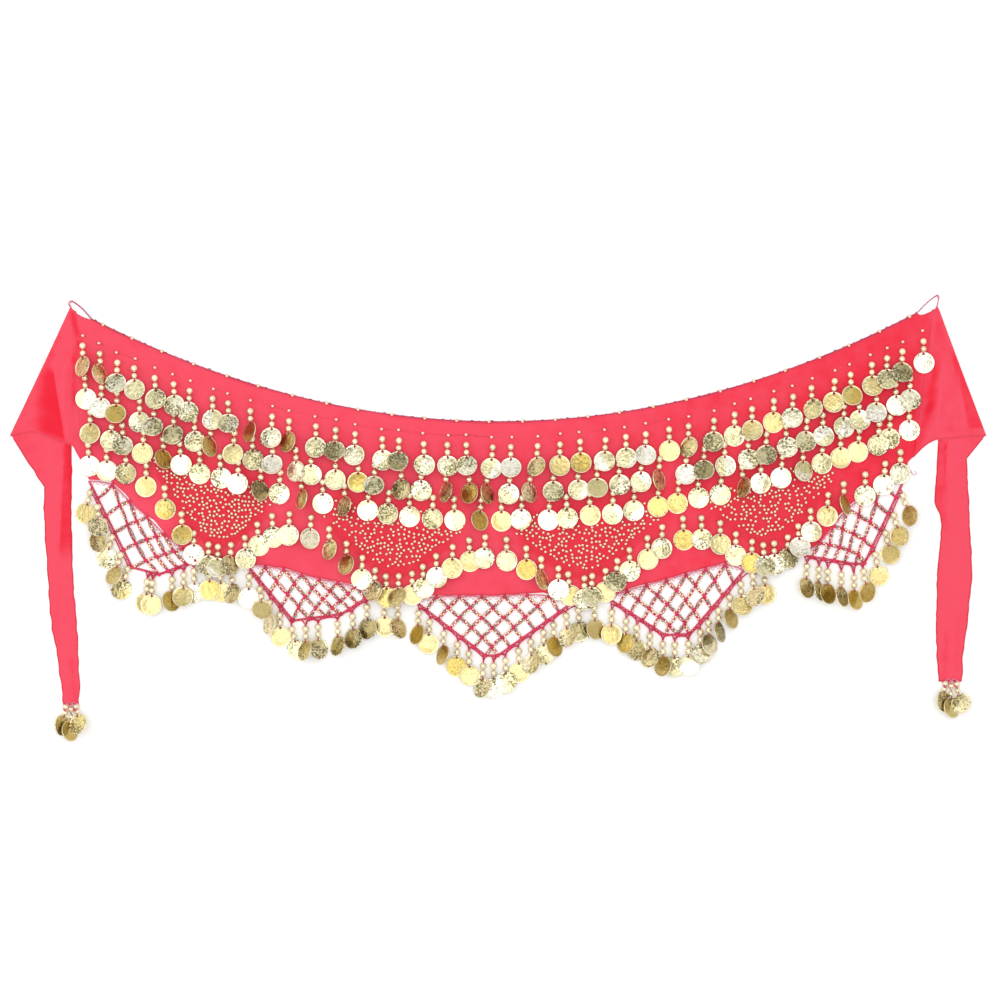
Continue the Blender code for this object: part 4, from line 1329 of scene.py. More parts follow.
class Drop:
    """A strand of two round beads with a coin at its end."""

    def __init__(self, root, lean, length, base, finish, roll, bead_share=1.0):
        self.root = root
        self.lean = lean
        self.length = length
        self.base = base
        self.finish = finish
        self.roll = roll
        self.radii = [radius * bead_share for radius in BEAD_RADII]
        self.swing(0.0)
        self.lie(LIES[0], 1.0)

    def swing(self, turn):
        """Hangs the strand at its lean and a further turn in degrees."""
        angle = math.radians(self.lean + turn)
        self.hang = (math.sin(angle), -math.cos(angle))
        longer = max(self.length - DROP_LENGTH, 0.0)
        shorter = min(self.length - DROP_LENGTH, 0.0)
        first = BEAD_FIRST + longer * LONG_SHIFT + shorter * SHORT_SHIFT
        pitch = BEAD_PITCH + shorter * SHORT_PITCH
        self.beads = []
        for index, radius in enumerate(self.radii):
            place = moved(self.root, self.hang, first + index * pitch)
            self.beads.append(np.array((*place, self.base + radius * BEAD_SIT)))

    def lie(self, lie, roll_share):
        """Lays the coin with its hole at a height, a slope and a share of its roll."""
        along = self.length - COIN_REACH
        self.hole = np.array((*moved(self.root, self.hang, along), self.base + lie.hole))
        down = unit(np.array((*self.hang, lie.slope)))
        across = np.array((-self.hang[1], self.hang[0], 0.0))
        normal = np.cross(across, -down)
        turn = self.roll * roll_share
        across, normal = (
            across * math.cos(turn) + normal * math.sin(turn),
            normal * math.cos(turn) - across * math.sin(turn),
        )
        self.axes = np.stack([across, -down, normal])
        self.normal = normal
        self.centre = self.hole + down * COIN_REACH

    def height_at(self, places):
        """Height of the coin's plane at flat places."""
        step = places - self.centre[:2]
        return self.centre[2] - (step @ self.normal[:2]) / self.normal[2]

    def within(self, places, spare):
        """Which flat places lie over the coin, and the height of its plane at each."""
        heights = self.height_at(places)
        reach = np.column_stack([places, heights]) - self.centre
        return np.linalg.norm(reach, axis=1) < COIN_RADIUS + spare, heights

    def samples(self):
        """The coin's middle, and places on circles round it."""
        turns = np.linspace(0.0, 2 * math.pi, COIN_TURNS, endpoint=False)
        circle = np.cos(turns)[:, None] * self.axes[0] + np.sin(turns)[:, None] * self.axes[1]
        circles = [self.centre + share * COIN_RADIUS * circle for share in COIN_CIRCLES]
        return np.concatenate([self.centre[None, :], *circles])


def coins_clear(first, second):
    """True if one coin lies wholly over or under the other wherever they cross."""
    if math.dist(first.centre[:2], second.centre[:2]) > 2 * COIN_RADIUS + COIN_NEAR:
        return True
    lifts = []
    for one, other, sign in ((first, second, 1.0), (second, first, -1.0)):
        places = one.samples()
        inside, heights = other.within(places[:, :2], COIN_EDGE_SPARE)
        lifts.append(sign * (places[inside, 2] - heights[inside]))
    lifts = np.concatenate(lifts)
    needed = COIN_THICK + COIN_SPARE
    return len(lifts) == 0 or lifts.min() > needed or lifts.max() < -needed


def bead_clear(coin_drop, bead_drop):
    """True if a drop's coin clears another drop's beads."""
    beads = np.array(bead_drop.beads)
    inside, heights = coin_drop.within(beads[:, :2], BEAD_RADII[0] * BEAD_OVERLAP)
    gaps = np.abs(beads[inside, 2] - heights[inside])
    return bool(np.all(gaps > np.array(bead_drop.radii)[inside] + BEAD_SPARE))


def above_base(drop, floor_of):
    """True if the coin stays above what it lies on, however far it is dished."""
    places = drop.samples()
    shares = np.linalg.norm(places - drop.centre, axis=1) / COIN_RADIUS
    reaches = COIN_THICK / 2 + FLOOR_SPARE + COIN_DISH * (1.0 - shares**2)
    return all(z - reach > floor_of(x, y) for (x, y, z), reach in zip(places, reaches))


def settle(drop, placed, floor_of):
    """Gives a coin the first lie that clears its neighbours and what it lies on."""
    reach = 2 * COIN_RADIUS + DROP_LENGTH
    near = [other for other in placed if math.dist(other.centre[:2], drop.centre[:2]) < reach]
    for turn, roll_share, lie in product(SWINGS, ROLL_SHARES, LIES):
        drop.swing(turn)
        drop.lie(lie, roll_share)
        if not above_base(drop, floor_of) or drop.samples()[:, 2].max() > HIGHEST:
            continue
        if all(
            coins_clear(drop, other) and bead_clear(drop, other) and bead_clear(other, drop)
            for other in near
        ):
            placed.append(drop)
            return True
    placed.append(drop)
    return False


def settle_line(line, placed, floor_of):
    """Settles a line of coins. Those that find no place go first in the next try."""
    start = len(placed)
    order = list(line)
    for _ in range(LINE_TRIES):
        del placed[start:]
        stuck = [drop for drop in order if not settle(drop, placed, floor_of)]
        if not stuck:
            break
        order = stuck + [drop for drop in order if drop not in stuck]


def pick(maker, finishes):
    """A finish by its share."""
    at = maker.random()
    for finish, share in finishes:
        at -= share
        if at < 0:
            return finish
    return finishes[0][0]


def random_roll(maker, turned_share):
    """Most coins lie nearly flat, and a share of them are turned on their thread."""
    if maker.random() < turned_share:
        return maker.choice((-1.0, 1.0)) * math.radians(maker.uniform(*ROLL_TURNED))
    return math.radians(maker.uniform(-ROLL_FLAT, ROLL_FLAT))


def share_out(items, parts):
    """Cut a list into nearly equal runs."""
    cuts = [round(len(items) * part / parts) for part in range(parts + 1)]
    return [items[low:high] for low, high in zip(cuts, cuts[1:])]


def row_xs(row):
    """Roots of a row: a little uneven, and closer together towards both ends."""
    xs = []
    for number in range(row.drops):
        along = mix(-1.0, 1.0, number / (row.drops - 1))
        along *= 1.0 + ROW_CROWDING * (1.0 - along**2)
        inside = 0 < number < row.drops - 1
        sway = ROW_SWAY * math.sin(number * ROW_SWAY_TURN + row.x_first) if inside else 0.0
        xs.append(mix(row.x_first, row.x_last, (1.0 + along) / 2) + sway)
    return xs


def wave_xs():
    """Roots of the wavy row, closer together in the fans."""
    xs = []
    x = RIDGES[0].x + STRAND_WIDTH
    while x < RIDGES[-1].x:
        xs.append(x)
        x += mix(WAVE_PITCH_RIDGE, WAVE_PITCH_FAN, fan_depth(x)[0] ** WAVE_CROWDING)
    return [*xs, WAVE_LAST]


def cloth_roots():
    """Roots of the drops on the cloth by the node that they stand for."""
    roots = {}
    for row in ROWS:
        for letter, xs in zip(LETTERS, share_out(row_xs(row), ROW_LENGTHS)):
            roots[f"{row.name}_{letter}"] = [(x, row_y(row, x)) for x in xs]
    for letter, xs in zip(LETTERS, share_out(wave_xs(), WAVE_LENGTHS)):
        roots[f"wave_row_{letter}"] = [(x, wave_y(x)) for x in xs]
    return roots


def cloth_drop(x, y, maker):
    """A drop on the cloth, with some random stray."""
    stray = maker.uniform(-ROW_STRAY, ROW_STRAY)
    root = (x + stray, y + maker.uniform(-ROW_RISE, ROW_RISE))
    lean = maker.uniform(-ROW_LEAN, ROW_LEAN)
    finish = pick(maker, CLOTH_FINISHES)
    roll = random_roll(maker, CLOTH_TURNED)
    return Drop(root, lean, DROP_LENGTH, cloth_top(*root), finish, roll)


def fringe_drops(fringe, maker):
    """Drops on one side of a net, hanging on the floor."""
    path = fringe_path(fringe)
    length = path_length(path)
    margin = length / fringe.drops / 2
    ends = (FRINGE_TIP_STEP, length - margin)
    if fringe.side == "left":
        ends = (margin, length - FRINGE_TIP_STEP)
    line = []
    for index in range(fringe.drops):
        share = index / (fringe.drops - 1)
        distance = off_bends(path, mix(*ends, share)) + maker.uniform(-ROW_STRAY, ROW_STRAY)
        root, _ = point_along(path, distance)
        lean = mix(fringe.lean_first, fringe.lean_last, share)
        long = mix(fringe.long_first, fringe.long_last, share)
        roll = random_roll(maker, FRINGE_TURNED)
        line.append(Drop(root, lean, long, 0.0, pick(maker, FRINGE_FINISHES), roll))
    return line


def tie_drops(tie):
    """The three drops at a strap's end, each turned so that its coin looks as wide as it should."""
    y = tie["strap"][-1].y - SEAM_GAP - STRIP_WIDTH / 2
    line = []
    for coin, finish in zip(tie["coins"], (STAMPED, PALE, STAMPED)):
        roll = math.acos(coin.half_width / COIN_RADIUS) * (1.0 if coin.lean > 0 else -1.0)
        root = (coin.x_root, y)
        line.append(Drop(root, coin.lean, coin.length, 0.0, finish, roll, TIE_BEAD_SHARE))
    return line


def plan_drops():
    """All drops by the node that they stand for, settled from the hem up to the waist."""
    maker = random.Random(12)
    drops = {}
    for name, roots in cloth_roots().items():
        drops[name] = [cloth_drop(x, y, maker) for x, y in roots]
    for fringe in FRINGES:
        drops[f"fringe_{fringe.net}_{fringe.side}"] = fringe_drops(fringe, maker)
    drops["left_tie_coins"] = tie_drops(LEFT_TIE)
    drops["right_tie_coins"] = tie_drops(RIGHT_TIE)
    placed = []
    on_floor = ("fringe", "left", "right")
    for starts in (on_floor, "wave_row", "coin_row_3", "coin_row_2", "coin_row_1"):
        floor_of = bare_floor if starts == on_floor else cloth_top
        for name, line in drops.items():
            if name.startswith(starts):
                settle_line(line, placed, floor_of)
    return drops


def side_of(share, maker, place):
    """0 on one side of a coin and 1 on the other, parted by a soft line at a place."""
    turn = maker.uniform(0.0, 2 * math.pi)
    across = share @ np.array((math.cos(turn), math.sin(turn)))
    step = np.clip((across - place) / SIDE_SOFT + 0.5, 0.0, 1.0)
    return step * step * (3.0 - 2.0 * step)


def stamped_marks(share, relief, shift):
    """Strength of the dark marks in a coin's stamping at each of its points, from 0 to 1."""
    level = np.zeros(len(share))
    for marks in MARKS:
        places = [(x * marks.scale, y * marks.scale, shift + marks.shift) for x, y in share]
        level += marks.weight * np.array([noise.noise(Vector(place)) for place in places])
    level += MARKS_HOLLOW_WEIGHT * (np.clip(1.0 - relief / MARKS_HOLLOW, 0.0, 1.0) - 0.5)
    return np.clip((level + MARKS_FROM) / MARKS_SOFT, 0.0, 1.0)


def coin_colours(drop, maker, share, relief):
    """Colour of each point of a coin, with a painted reflection on one side and a painted tone for
    a turned coin, and its wear in the alpha.
    """
    finish = drop.finish
    distance = np.linalg.norm(share, axis=1)
    # Painted reflection: one side of the coin is lighter than the other.
    split = side_of(share, maker, maker.uniform(*REFLECTION_PLACES))[:, None]
    colour = mix(np.array(finish.colour), np.array(finish.other), split)
    # Painted reflection: a coin turned on its thread takes a more golden tone.
    turned_reflection = min(abs(drop.roll) / math.radians(TURNED_REFLECTION_FULL), 1.0)
    colour *= mix(np.ones(3), np.array(TURNED_REFLECTION_TONE), turned_reflection) * maker.uniform(*COIN_TONES)
    worn = mix(WORN_LEAST, 1.0, side_of(share, maker, maker.uniform(*WORN_PLACES)))
    marks = stamped_marks(share, relief, maker.uniform(0.0, MARKS_SHIFTS))
    marks *= distance < MARKS_REACH
    deep = (np.clip(marks * worn * finish.wear, 0.0, 1.0) * MARKS_DEPTH)[:, None]
    colour = mix(colour, np.array(HOLLOW_TONE), deep)
    start, width, strength = RIM_SHADE
    rim = (np.clip((distance - start) / width, 0.0, 1.0) * strength)[:, None]
    colour = mix(colour, np.array(RIM_TONE), rim)
    return np.column_stack([colour, finish.wear * worn * WORN_ALPHA])


def add_coin(batch, drop, maker):
    """A stamped coin with its own dish, bow and colours, mirrored about half of the time."""
    points, faces, relief = maker.choice(COINS)
    local = points.copy()
    share = points[:, :2] / COIN_RADIUS
    dish = 1.0 - np.linalg.norm(share, axis=1) ** 2
    local[:, 2] += maker.uniform(-COIN_DISH, COIN_DISH) * dish
    local[:, 2] += maker.uniform(-COIN_BOW, COIN_BOW) * share[:, 0] ** 2
    if maker.random() < 0.5:
        local[:, 0] *= -1.0
        faces = turned_over(faces)
    colours = coin_colours(drop, maker, share, relief)
    batch.add(local @ drop.axes + drop.centre, faces, colours)


def add_drop(batch, threads, drop, maker):
    """Coin and beads go to one batch, and the thread that holds them to the other."""
    add_coin(batch, drop, maker)
    for bead, radius in zip(drop.beads, drop.radii):
        size = radius * maker.uniform(*BEAD_SIZES)
        tone = maker.uniform(*BEAD_TONES)
        colour = (*(part * tone for part in CHAMPAGNE[:3]), 1.0)
        axes = frame_of((*drop.hang, 0.0))
        batch.add(*place_template(ROUND_BEAD, bead, axes, size), colour, slot=1)
    first, second = drop.beads
    line = [
        (*drop.root, drop.base + STRAND_START),
        first - (0.0, 0.0, STRAND_IN_BEAD),
        second,
        (second + drop.hole) / 2 + (0.0, 0.0, STRAND_BOW),
        drop.hole + drop.normal * STRAND_OVER_HOLE,
        drop.hole - drop.normal * STRAND_UNDER_HOLE,
    ]
    add_thread(threads, line, parts=3, radius=STRAND_THREAD, colour=DEEP_CRIMSON)


# ------------------------------------------------------------------ cloth pieces


def add_wall(item, offset, even):
    """Gives a sheet its thickness: below its face at an offset of -1, on both sides at 0."""
    wall = item.modifiers.new("wall", "SOLIDIFY")
    wall.thickness = SHELL * MM
    wall.offset = offset
    wall.use_even_offset = even


def crease_line(x, y, start, end, width):
    """1 on a line between two points, fading to 0 at a width from it."""
    share, away = along_and_away(x, y, start, end)
    near = smooth(width, 0.0, away) * smooth(-STREAK_FADE, STREAK_FADE, share)
    return near * smooth(1.0 + STREAK_FADE, 1.0 - STREAK_FADE, share)


def fold_shading_depth(x, y, streaks):
    """How much the streaks of painted shade deepen the colour at a place, and those of painted
    highlight lighten it.
    """
    return sum(
        streak.depth * crease_line(x, y, streak[0:2], streak[2:4], streak.width)
        for streak in streaks
        if abs(x - streak.x_start) < STREAK_REACH and abs(x - streak.x_end) < STREAK_REACH
    )


def area_share(x, y, corners):
    """1 inside a shape whose corners run anticlockwise, with each side's own soft edge."""
    share = 1.0
    for corner, following in zip(corners, corners[1:] + corners[:1]):
        along_x, along_y = following.x - corner.x, following.y - corner.y
        inside = (y - corner.y) * along_x - (x - corner.x) * along_y
        inside /= math.hypot(along_x, along_y)
        share *= smooth(-corner.soft / 2, corner.soft / 2, inside)
    return share


def panel_tint(x, y):
    """How deep and how shaded the panel's colour is: deep near the right end, both in the fans, and
    with painted shade in folds and painted highlights on ridges near the corners.
    """
    over_wave = y - wave_y(x)
    fan = smooth(*FAN_FOOT, over_wave) * smooth(*FAN_ENDS, fan_depth(x)[0])
    fan *= smooth(*FAN_TOP, y - row_y(ROWS[2], x))
    on_rows = smooth(*ROWS_FADE, row_y(ROWS[0], x) + ROWS_ABOVE - y) * smooth(*ROWS_FOOT, over_wave)
    plain = PLAIN_DEPTH + look_up(END_DEPTH, x) + on_rows * ROWS_DEPTH
    depth = mix(plain, max(plain, FAN_TINT), fan) + fold_shading_depth(x, y, UPPER_FOLD_SHADING)
    return min(max(depth, 0.0), 1.0), FAN_SHADE * fan


def add_hem(hems, line, depths, shade=0.0):
    """A rolled hem along a line of points, with one depth of colour or one for each point."""
    line = [(x, y, max(z, HEM_ROLL + HEM_SPARE)) for x, y, z in line]
    depths = np.clip(np.broadcast_to(depths, len(line)), 0.0, 1.0)
    colours = [(depth, shade, 0.0, 1.0) for depth in np.repeat(depths, HEM_SIDES)]
    hems.add(*tube(line, HEM_ROLL, HEM_SIDES), colours)


def panel_column(share):
    """Points of the panel's face from the waist to the hem, at a share of its width."""
    x_hem = mix(HEM[0][0], HEM[-1][0], share)
    x_waist = mix(LEFT_SIDE[0][1], RIGHT_SIDE[0][1], share)
    y_waist = waist_y(x_waist, WAIST_INSET) - look_up(CORNER_SAG, x_waist)
    depth = y_waist - hem_y(x_hem)
    calm = smooth(0.0, SIDE_CALM, min(share, 1.0 - share))
    points = []
    for number in range(PANEL_ROWS + 1):
        row = number / PANEL_ROWS
        y = mix(y_waist, hem_y(x_hem), row)
        x = mix(x_waist, x_hem, row)
        x += (1.0 - share) ** SIDE_FADE * side_bow(LEFT_SIDE, row)
        x += share**SIDE_FADE * side_bow(RIGHT_SIDE, row)
        inside = min(row * depth, (1.0 - row) * depth)
        z = cloth_top(x, y) - EDGE_DROP * (1.0 - smooth(0.0, EDGE_SOFT, inside))
        z += calm * wave_height(x, y, PANEL_WAVES)
        points.append((x, y, max(z, SHELL + FLOOR_SPARE)))
    return points


def build_panel(chiffon, hems):
    points = []
    for column in range(PANEL_COLUMNS + 1):
        even = column / PANEL_COLUMNS
        points += panel_column(mix(even, smooth(0.0, 1.0, even), PANEL_CROWDING))
    tints = [(*panel_tint(x, y), 0.0, 1.0) for x, y, _ in points]
    batch = Batch()
    batch.add(points, turned_over(grid_faces(PANEL_COLUMNS + 1, PANEL_ROWS + 1)), tints)
    add_hem(hems, points[PANEL_ROWS :: PANEL_ROWS + 1], PANEL_HEM_DEPTH)
    item = batch.build("cloth_panel", [chiffon])
    add_wall(item, offset=-1.0, even=True)
    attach(item, "root")
    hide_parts("main_panel")
    return item


def flap_row(tie, outward, edge, inner, seam, share):
    """One row of a tie's cloth: the layer behind, the fold, the flap, and its lap at the seam."""
    middle = CLOTH / 2 + FOLD_RADIUS
    centre = moved(edge, outward, -middle)
    row = []
    for part in range(STRAP_PARTS):
        row.append([*mix_point(inner, centre, part / STRAP_PARTS), CLOTH / 2])
    for angle in FOLD_ANGLES:
        turn = math.radians(angle)
        place = moved(centre, outward, FOLD_RADIUS * math.cos(turn))
        row.append([*place, middle + FOLD_RADIUS * math.sin(turn)])
    flap = len(row)
    lip = (mix(inner[0], seam[0], LIP_SHARES[0]), mix(inner[1], seam[1], LIP_SHARES[1]))
    pressed = smooth(PRESS_START, 1.0, share)
    layer = middle + FOLD_RADIUS - HEM_PRESS * pressed
    for part, ridge in FLAP_SHAPE:
        height = layer + ridge * share * (1.0 - FLAP_CALM * pressed)
        row.append([*mix_point(centre, lip, part), height])
    from_end = min(tie["seam_top"][1] - seam[1], seam[1] - tie["seam_foot"][1])
    level = SEAM_LEVEL - EDGE_DROP * (1.0 - smooth(0.0, EDGE_SOFT, from_end))
    row.append([*mix_point(lip, seam, 0.5), level])
    row.append([*seam, level])
    row.append([seam[0] - math.copysign(SEAM_LAP, seam[0]), seam[1], level])
    width = abs(seam[0] - edge[0])
    for point in row[flap:]:
        point[1] += look_up(tie["hem_sway"], abs(point[0] - edge[0]) / width) * share**3
    return row


def tie_rows(tie):
    """Middle of a tie's cloth as rows of points, which start at the strap's inner edge. The
    rows of the flap go round the fold to the seam, and those of the strap end at its outer edge."""
    side = math.copysign(1.0, tie["elbow"][0])
    fold = direction_of(tie["corner"], tie["elbow"])
    outward = (-fold[1] * side, fold[0] * side)
    inner_foot = (tie["strap"][0].x_inner, tie["elbow"][1])
    rows = [flap_row(tie, outward, *tie["peak"], 0.0)]
    for step in range(FLAP_ROWS):
        share = step / (FLAP_ROWS - 1)
        edge = mix_point(tie["corner"], tie["elbow"], share)
        inner = mix_point(tie["inner_top"], inner_foot, share)
        seam = mix_point(tie["seam_top"], tie["seam_foot"], share)
        rows.append(flap_row(tie, outward, edge, inner, seam, share))
    shares = [part / STRAP_PARTS for part in range(STRAP_PARTS + 1)]
    for line in tie["strap"][1:]:
        rows.append([(mix(line.x_inner, line.x_outer, part), line.y, CLOTH / 2) for part in shares])
    return rows


def fine_rows(rows):
    """The tie's rows cut finer, both along and across. Returns the flap's and the strap's rows."""
    across = [rounded(row, COLUMN_PARTS) for row in rows]
    fine_back = STRAP_PARTS * COLUMN_PARTS + 1
    flap = [row.ravel() for row in across[: FLAP_ROWS + 1]]
    strap = [row[:fine_back].ravel() for row in across[FLAP_ROWS:]]
    below_elbow = straight(strap[: ELBOW_SPANS + 1], STRAP_ROW_PARTS)[1:-1]
    below = rounded(strap[ELBOW_SPANS:], STRAP_ROW_PARTS)
    return (
        [row.reshape(-1, 3) for row in rounded(flap, FLAP_PARTS)],
        [row.reshape(-1, 3) for row in (*below_elbow, *below)],
    )


def left_tint(x, y, flap):
    """Depth of colour of the left tie: two layers under the flap, a doubled inner edge, and painted
    shade in folds and painted highlights on ridges.
    """
    if flap:
        double = area_share(x, y, LEFT_DOUBLE)
        return PLAIN_DEPTH + LEFT_DOUBLE_DEPTH * double + fold_shading_depth(x, y, UPPER_FOLD_SHADING)
    strip = smooth(*LEFT_STRIP_EDGE, x + LEFT_STRIP_SLOPE * (LEFT_STRIP_TOP - y))
    strip *= smooth(*LEFT_STRIP_FADE, y)
    left = smooth(*LEFT_SIDE_EDGE, x) * smooth(*LEFT_SIDE_FADE, y)
    depth = STRAP_DEPTH + LEFT_STRIP_DEPTH * strip + LEFT_SIDE_DEPTH * left
    return depth + fold_shading_depth(x, y, STRAP_FOLD_SHADING)


def right_tint(x, y, flap):
    """Depth of colour of the right tie: deeper near the scarf's end and the outer edge, with
    painted shade in folds and painted highlights on ridges.
    """
    if flap:
        near_end = look_up(END_DEPTH, x) * smooth(*RIGHT_END_FADE, y)
        plain = PLAIN_DEPTH + max(near_end, RIGHT_TOP_DEPTH * smooth(*RIGHT_TOP_FADE, y))
        double = area_share(x, y, RIGHT_DOUBLE)
        return plain + RIGHT_DOUBLE_DEPTH * double + fold_shading_depth(x, y, UPPER_FOLD_SHADING)
    inner = look_up([(line.y, line.x_inner) for line in RIGHT_TIE["strap"]], y)
    strip = smooth(*RIGHT_STRIP_EDGE, x - inner) * smooth(*RIGHT_STRIP_FADE, y)
    return STRAP_DEPTH + RIGHT_STRIP_DEPTH * strip + fold_shading_depth(x, y, STRAP_FOLD_SHADING)


def add_tie_hems(hems, rows, flap_count, tint_of):
    """Rolled hems round the strap and along the flap's foot, and the seam's roll."""
    back = STRAP_PARTS * COLUMN_PARTS
    inner = [row[0] for row in rows[flap_count:]]
    outer = [row[back] for row in rows[flap_count:]]
    line = inner + rows[-1][1:back] + outer[::-1]
    add_hem(hems, line, STRAP_HEM_DEPTH, STRAP_HEM_SHADE)
    hem = rows[flap_count - 1][back + FOLD_COLUMNS :]
    add_hem(hems, hem, [tint_of(x, y, True) for x, y, _ in hem])
    seam = [(*row[SEAM_COLUMN][:2], SEAM_ROLL) for row in rows[:flap_count]]
    add_hem(hems, seam, [panel_tint(x, y)[0] for x, y, _ in seam])


def build_tie(name, node, tie, tint_of, chiffon, hems):
    flap, strap = fine_rows(tie_rows(tie))
    back = STRAP_PARTS * COLUMN_PARTS
    rows = []
    tints = []
    for number, row in enumerate(flap + strap):
        rows.append([])
        for column, (x, y, z) in enumerate(row):
            on_flap = number < len(flap) and column > back
            to_seam = (len(row) - 1 - column) / CALM_COLUMNS
            calm = min(1.0, to_seam) if on_flap else BACK_CALM
            z += wave_height(x, y, TIE_WAVES) * calm
            if number >= len(flap):
                x += wave_height(x, y, STRAP_WAVES) * smooth(*STRAP_WAVE_START, y)
            rows[-1].append((x, y, max(z, TIE_LOWEST)))
            on_fold = on_flap and column < back + FOLD_COLUMNS
            depth = tint_of(x, y, on_flap) + (FOLD_DEPTH if on_fold else 0.0)
            shade = FOLD_SHADE if on_fold else 0.0
            tints.append((min(max(depth, 0.0), 1.0), shade, 0.0, 1.0))
    add_tie_hems(hems, rows, len(flap), tint_of)
    faces = []
    start = 0
    for upper, lower in zip(rows, rows[1:]):
        following = start + len(upper)
        for column in range(len(lower) - 1):
            a, b = start + column, following + column
            faces.append((a, b, b + 1, a + 1))
        start = following
    if tie["elbow"][0] > 0:
        faces = turned_over(faces)
    batch = Batch()
    batch.add(sum(rows, []), faces, tints)
    item = batch.build(name, [chiffon])
    add_wall(item, offset=0.0, even=False)
    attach(item, "root")
    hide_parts(node)
    return item


# ------------------------------------------------------------------ crochet


def add_edging_loops(batch, ends):
    """The slack loops of the edging at the scarf's two corners."""
    for loop, end in zip((LEFT_LOOP, RIGHT_LOOP), ends):
        line = rounded(at_height((*loop, end), LOOP_LEVEL), parts=8)
        add_ply(batch, line, LOOP_PLY, PLUM)
        add_ply(batch, line + LOOP_SECOND_SHIFT, LOOP_SECOND_PLY, PALE_PINK)
        add_knot(batch, (*loop[2], EDGING_LEVEL), LOOP_KNOT, PINK)


def add_edging_picots(batch, path, maker):
    """Small loops that stand out from the edging, with every third one in plum."""
    distance = PICOT_FIRST
    colours = cycle((PLUM, PALE_PINK, PALE_PINK))
    while distance < path_length(path):
        place, direction = point_along(path, distance)
        tip = moved(place, right_of(direction), -maker.uniform(*PICOT_REACH))
        feet = [moved(place, direction, step) for step in (-PICOT_HALF, PICOT_HALF)]
        line = at_height((feet[0], tip, feet[1]), EDGING_LEVEL)
        add_thread(batch, line, parts=3, radius=PICOT_RADIUS, colour=next(colours))
        distance += maker.uniform(*PICOT_PITCH)


def build_edging(thread, bead):
    """Crochet along the waist edge, with picots, seed beads and the slack corner loops."""
    batch = Batch()
    maker = random.Random(5)
    xs = [mix(EDGING_FIRST, EDGING_LAST, step / EDGING_STEPS) for step in range(EDGING_STEPS + 1)]
    outer = [(x, waist_y(x, EDGING_OUTER)) for x in xs]
    inner = [(x, waist_y(x, EDGING_INNER)) for x in xs]
    add_chain(batch, inner, EDGING_CHAIN_LEVEL, EDGING_CHAIN, CLOTH_THREAD)
    add_ply(batch, at_height(outer, EDGING_LEVEL), EDGING_PLY, PLUM)
    add_edging_loops(batch, (outer[0], outer[-1]))
    tail = rounded(at_height(TAIL, TAIL_LEVEL), parts=5)
    batch.add(*tube(tail, TAIL_RADIUS, sides=5), LILAC)
    add_edging_picots(batch, outer, maker)
    distance = EDGING_SEED_FIRST
    while distance < path_length(outer):
        place, direction = point_along(outer, distance)
        centre = (*place, EDGING_SEED_LEVEL)
        add_seed(batch, centre, direction, 1, SEED_CREAM, EDGING_SEED_RADIUS)
        distance += EDGING_SEED_PITCH + maker.uniform(-EDGING_SEED_STRAY, EDGING_SEED_STRAY)
    item = batch.build("waist_edging", [thread, bead])
    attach(item, "root")
    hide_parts("top_edging")
    return item


def add_mesh_side(batch, start, end, maker):
    """One side of a mesh: thread with a few seed beads near its middle."""
    length = math.dist(start, end)
    direction = direction_of(start, end)
    right = right_of(direction)
    middle = mix_point(start, end, 0.5)
    bend = moved(middle, right, maker.uniform(-NET_UNEVEN, NET_UNEVEN))
    bend = (bend[0], bend[1] - maker.uniform(0.0, NET_UNEVEN))
    line = [(*start, NET_LEVEL), (*bend, NET_LEVEL + NET_SAG_RISE), (*end, NET_LEVEL)]
    add_ply(batch, rounded(line, parts=3), NET_PLY, CRIMSON)
    loose = moved(middle, right, maker.choice((-1.0, 1.0)) * NET_LOOSE)
    line = [(*start, LOOSE_LEVEL), (*loose, LOOSE_LEVEL - LOOSE_DIP), (*end, LOOSE_LEVEL)]
    add_thread(batch, line, parts=4, radius=LOOSE_RADIUS, colour=PINK)
    count = min(NET_SEEDS_MOST, int((length - NET_SEED_MARGIN) / NET_SEED_PITCH))
    count = max(NET_SEEDS_LEAST, count)
    for index in range(count):
        share = 0.5 + (index - (count - 1) / 2) * NET_SEED_PITCH / length
        side = NET_SEED_SIDE if index % 2 else -NET_SEED_SIDE
        side += maker.uniform(-NET_SEED_STRAY, NET_SEED_STRAY)
        place = moved(mix_point(start, end, share), right, side)
        colour = maker.choices(NET_SEED_COLOURS, NET_SEED_SHARES)[0]
        add_seed(batch, (*place, NET_SEED_LEVEL), direction, 1, colour, NET_SEED_RADIUS)


def add_hem_loops(batch, start, end):
    """Two-ply thread along one mesh's stretch of the hem, with small loops below it."""
    middle = mix_point(start, end, 0.5)
    end_level, level = HEM_LEVELS
    line = [(*start, end_level), (middle[0], middle[1] + HEM_BOW, level), (*end, end_level)]
    add_ply(batch, rounded(line, parts=4), HEM_PLY, PINK)
    foot_level, level = HEM_LOOP_LEVELS
    for step in range(HEM_LOOPS):
        low = mix_point(start, end, (step + 0.5) / HEM_LOOPS)
        one, other = [mix_point(start, end, (step + part) / HEM_LOOPS) for part in HEM_LOOP_FEET]
        line = [(*one, foot_level), (low[0], low[1] - HEM_LOOP_DROP, level), (*other, foot_level)]
        add_thread(batch, line, parts=3, radius=HEM_LOOP_RADIUS, colour=PALE_PINK)


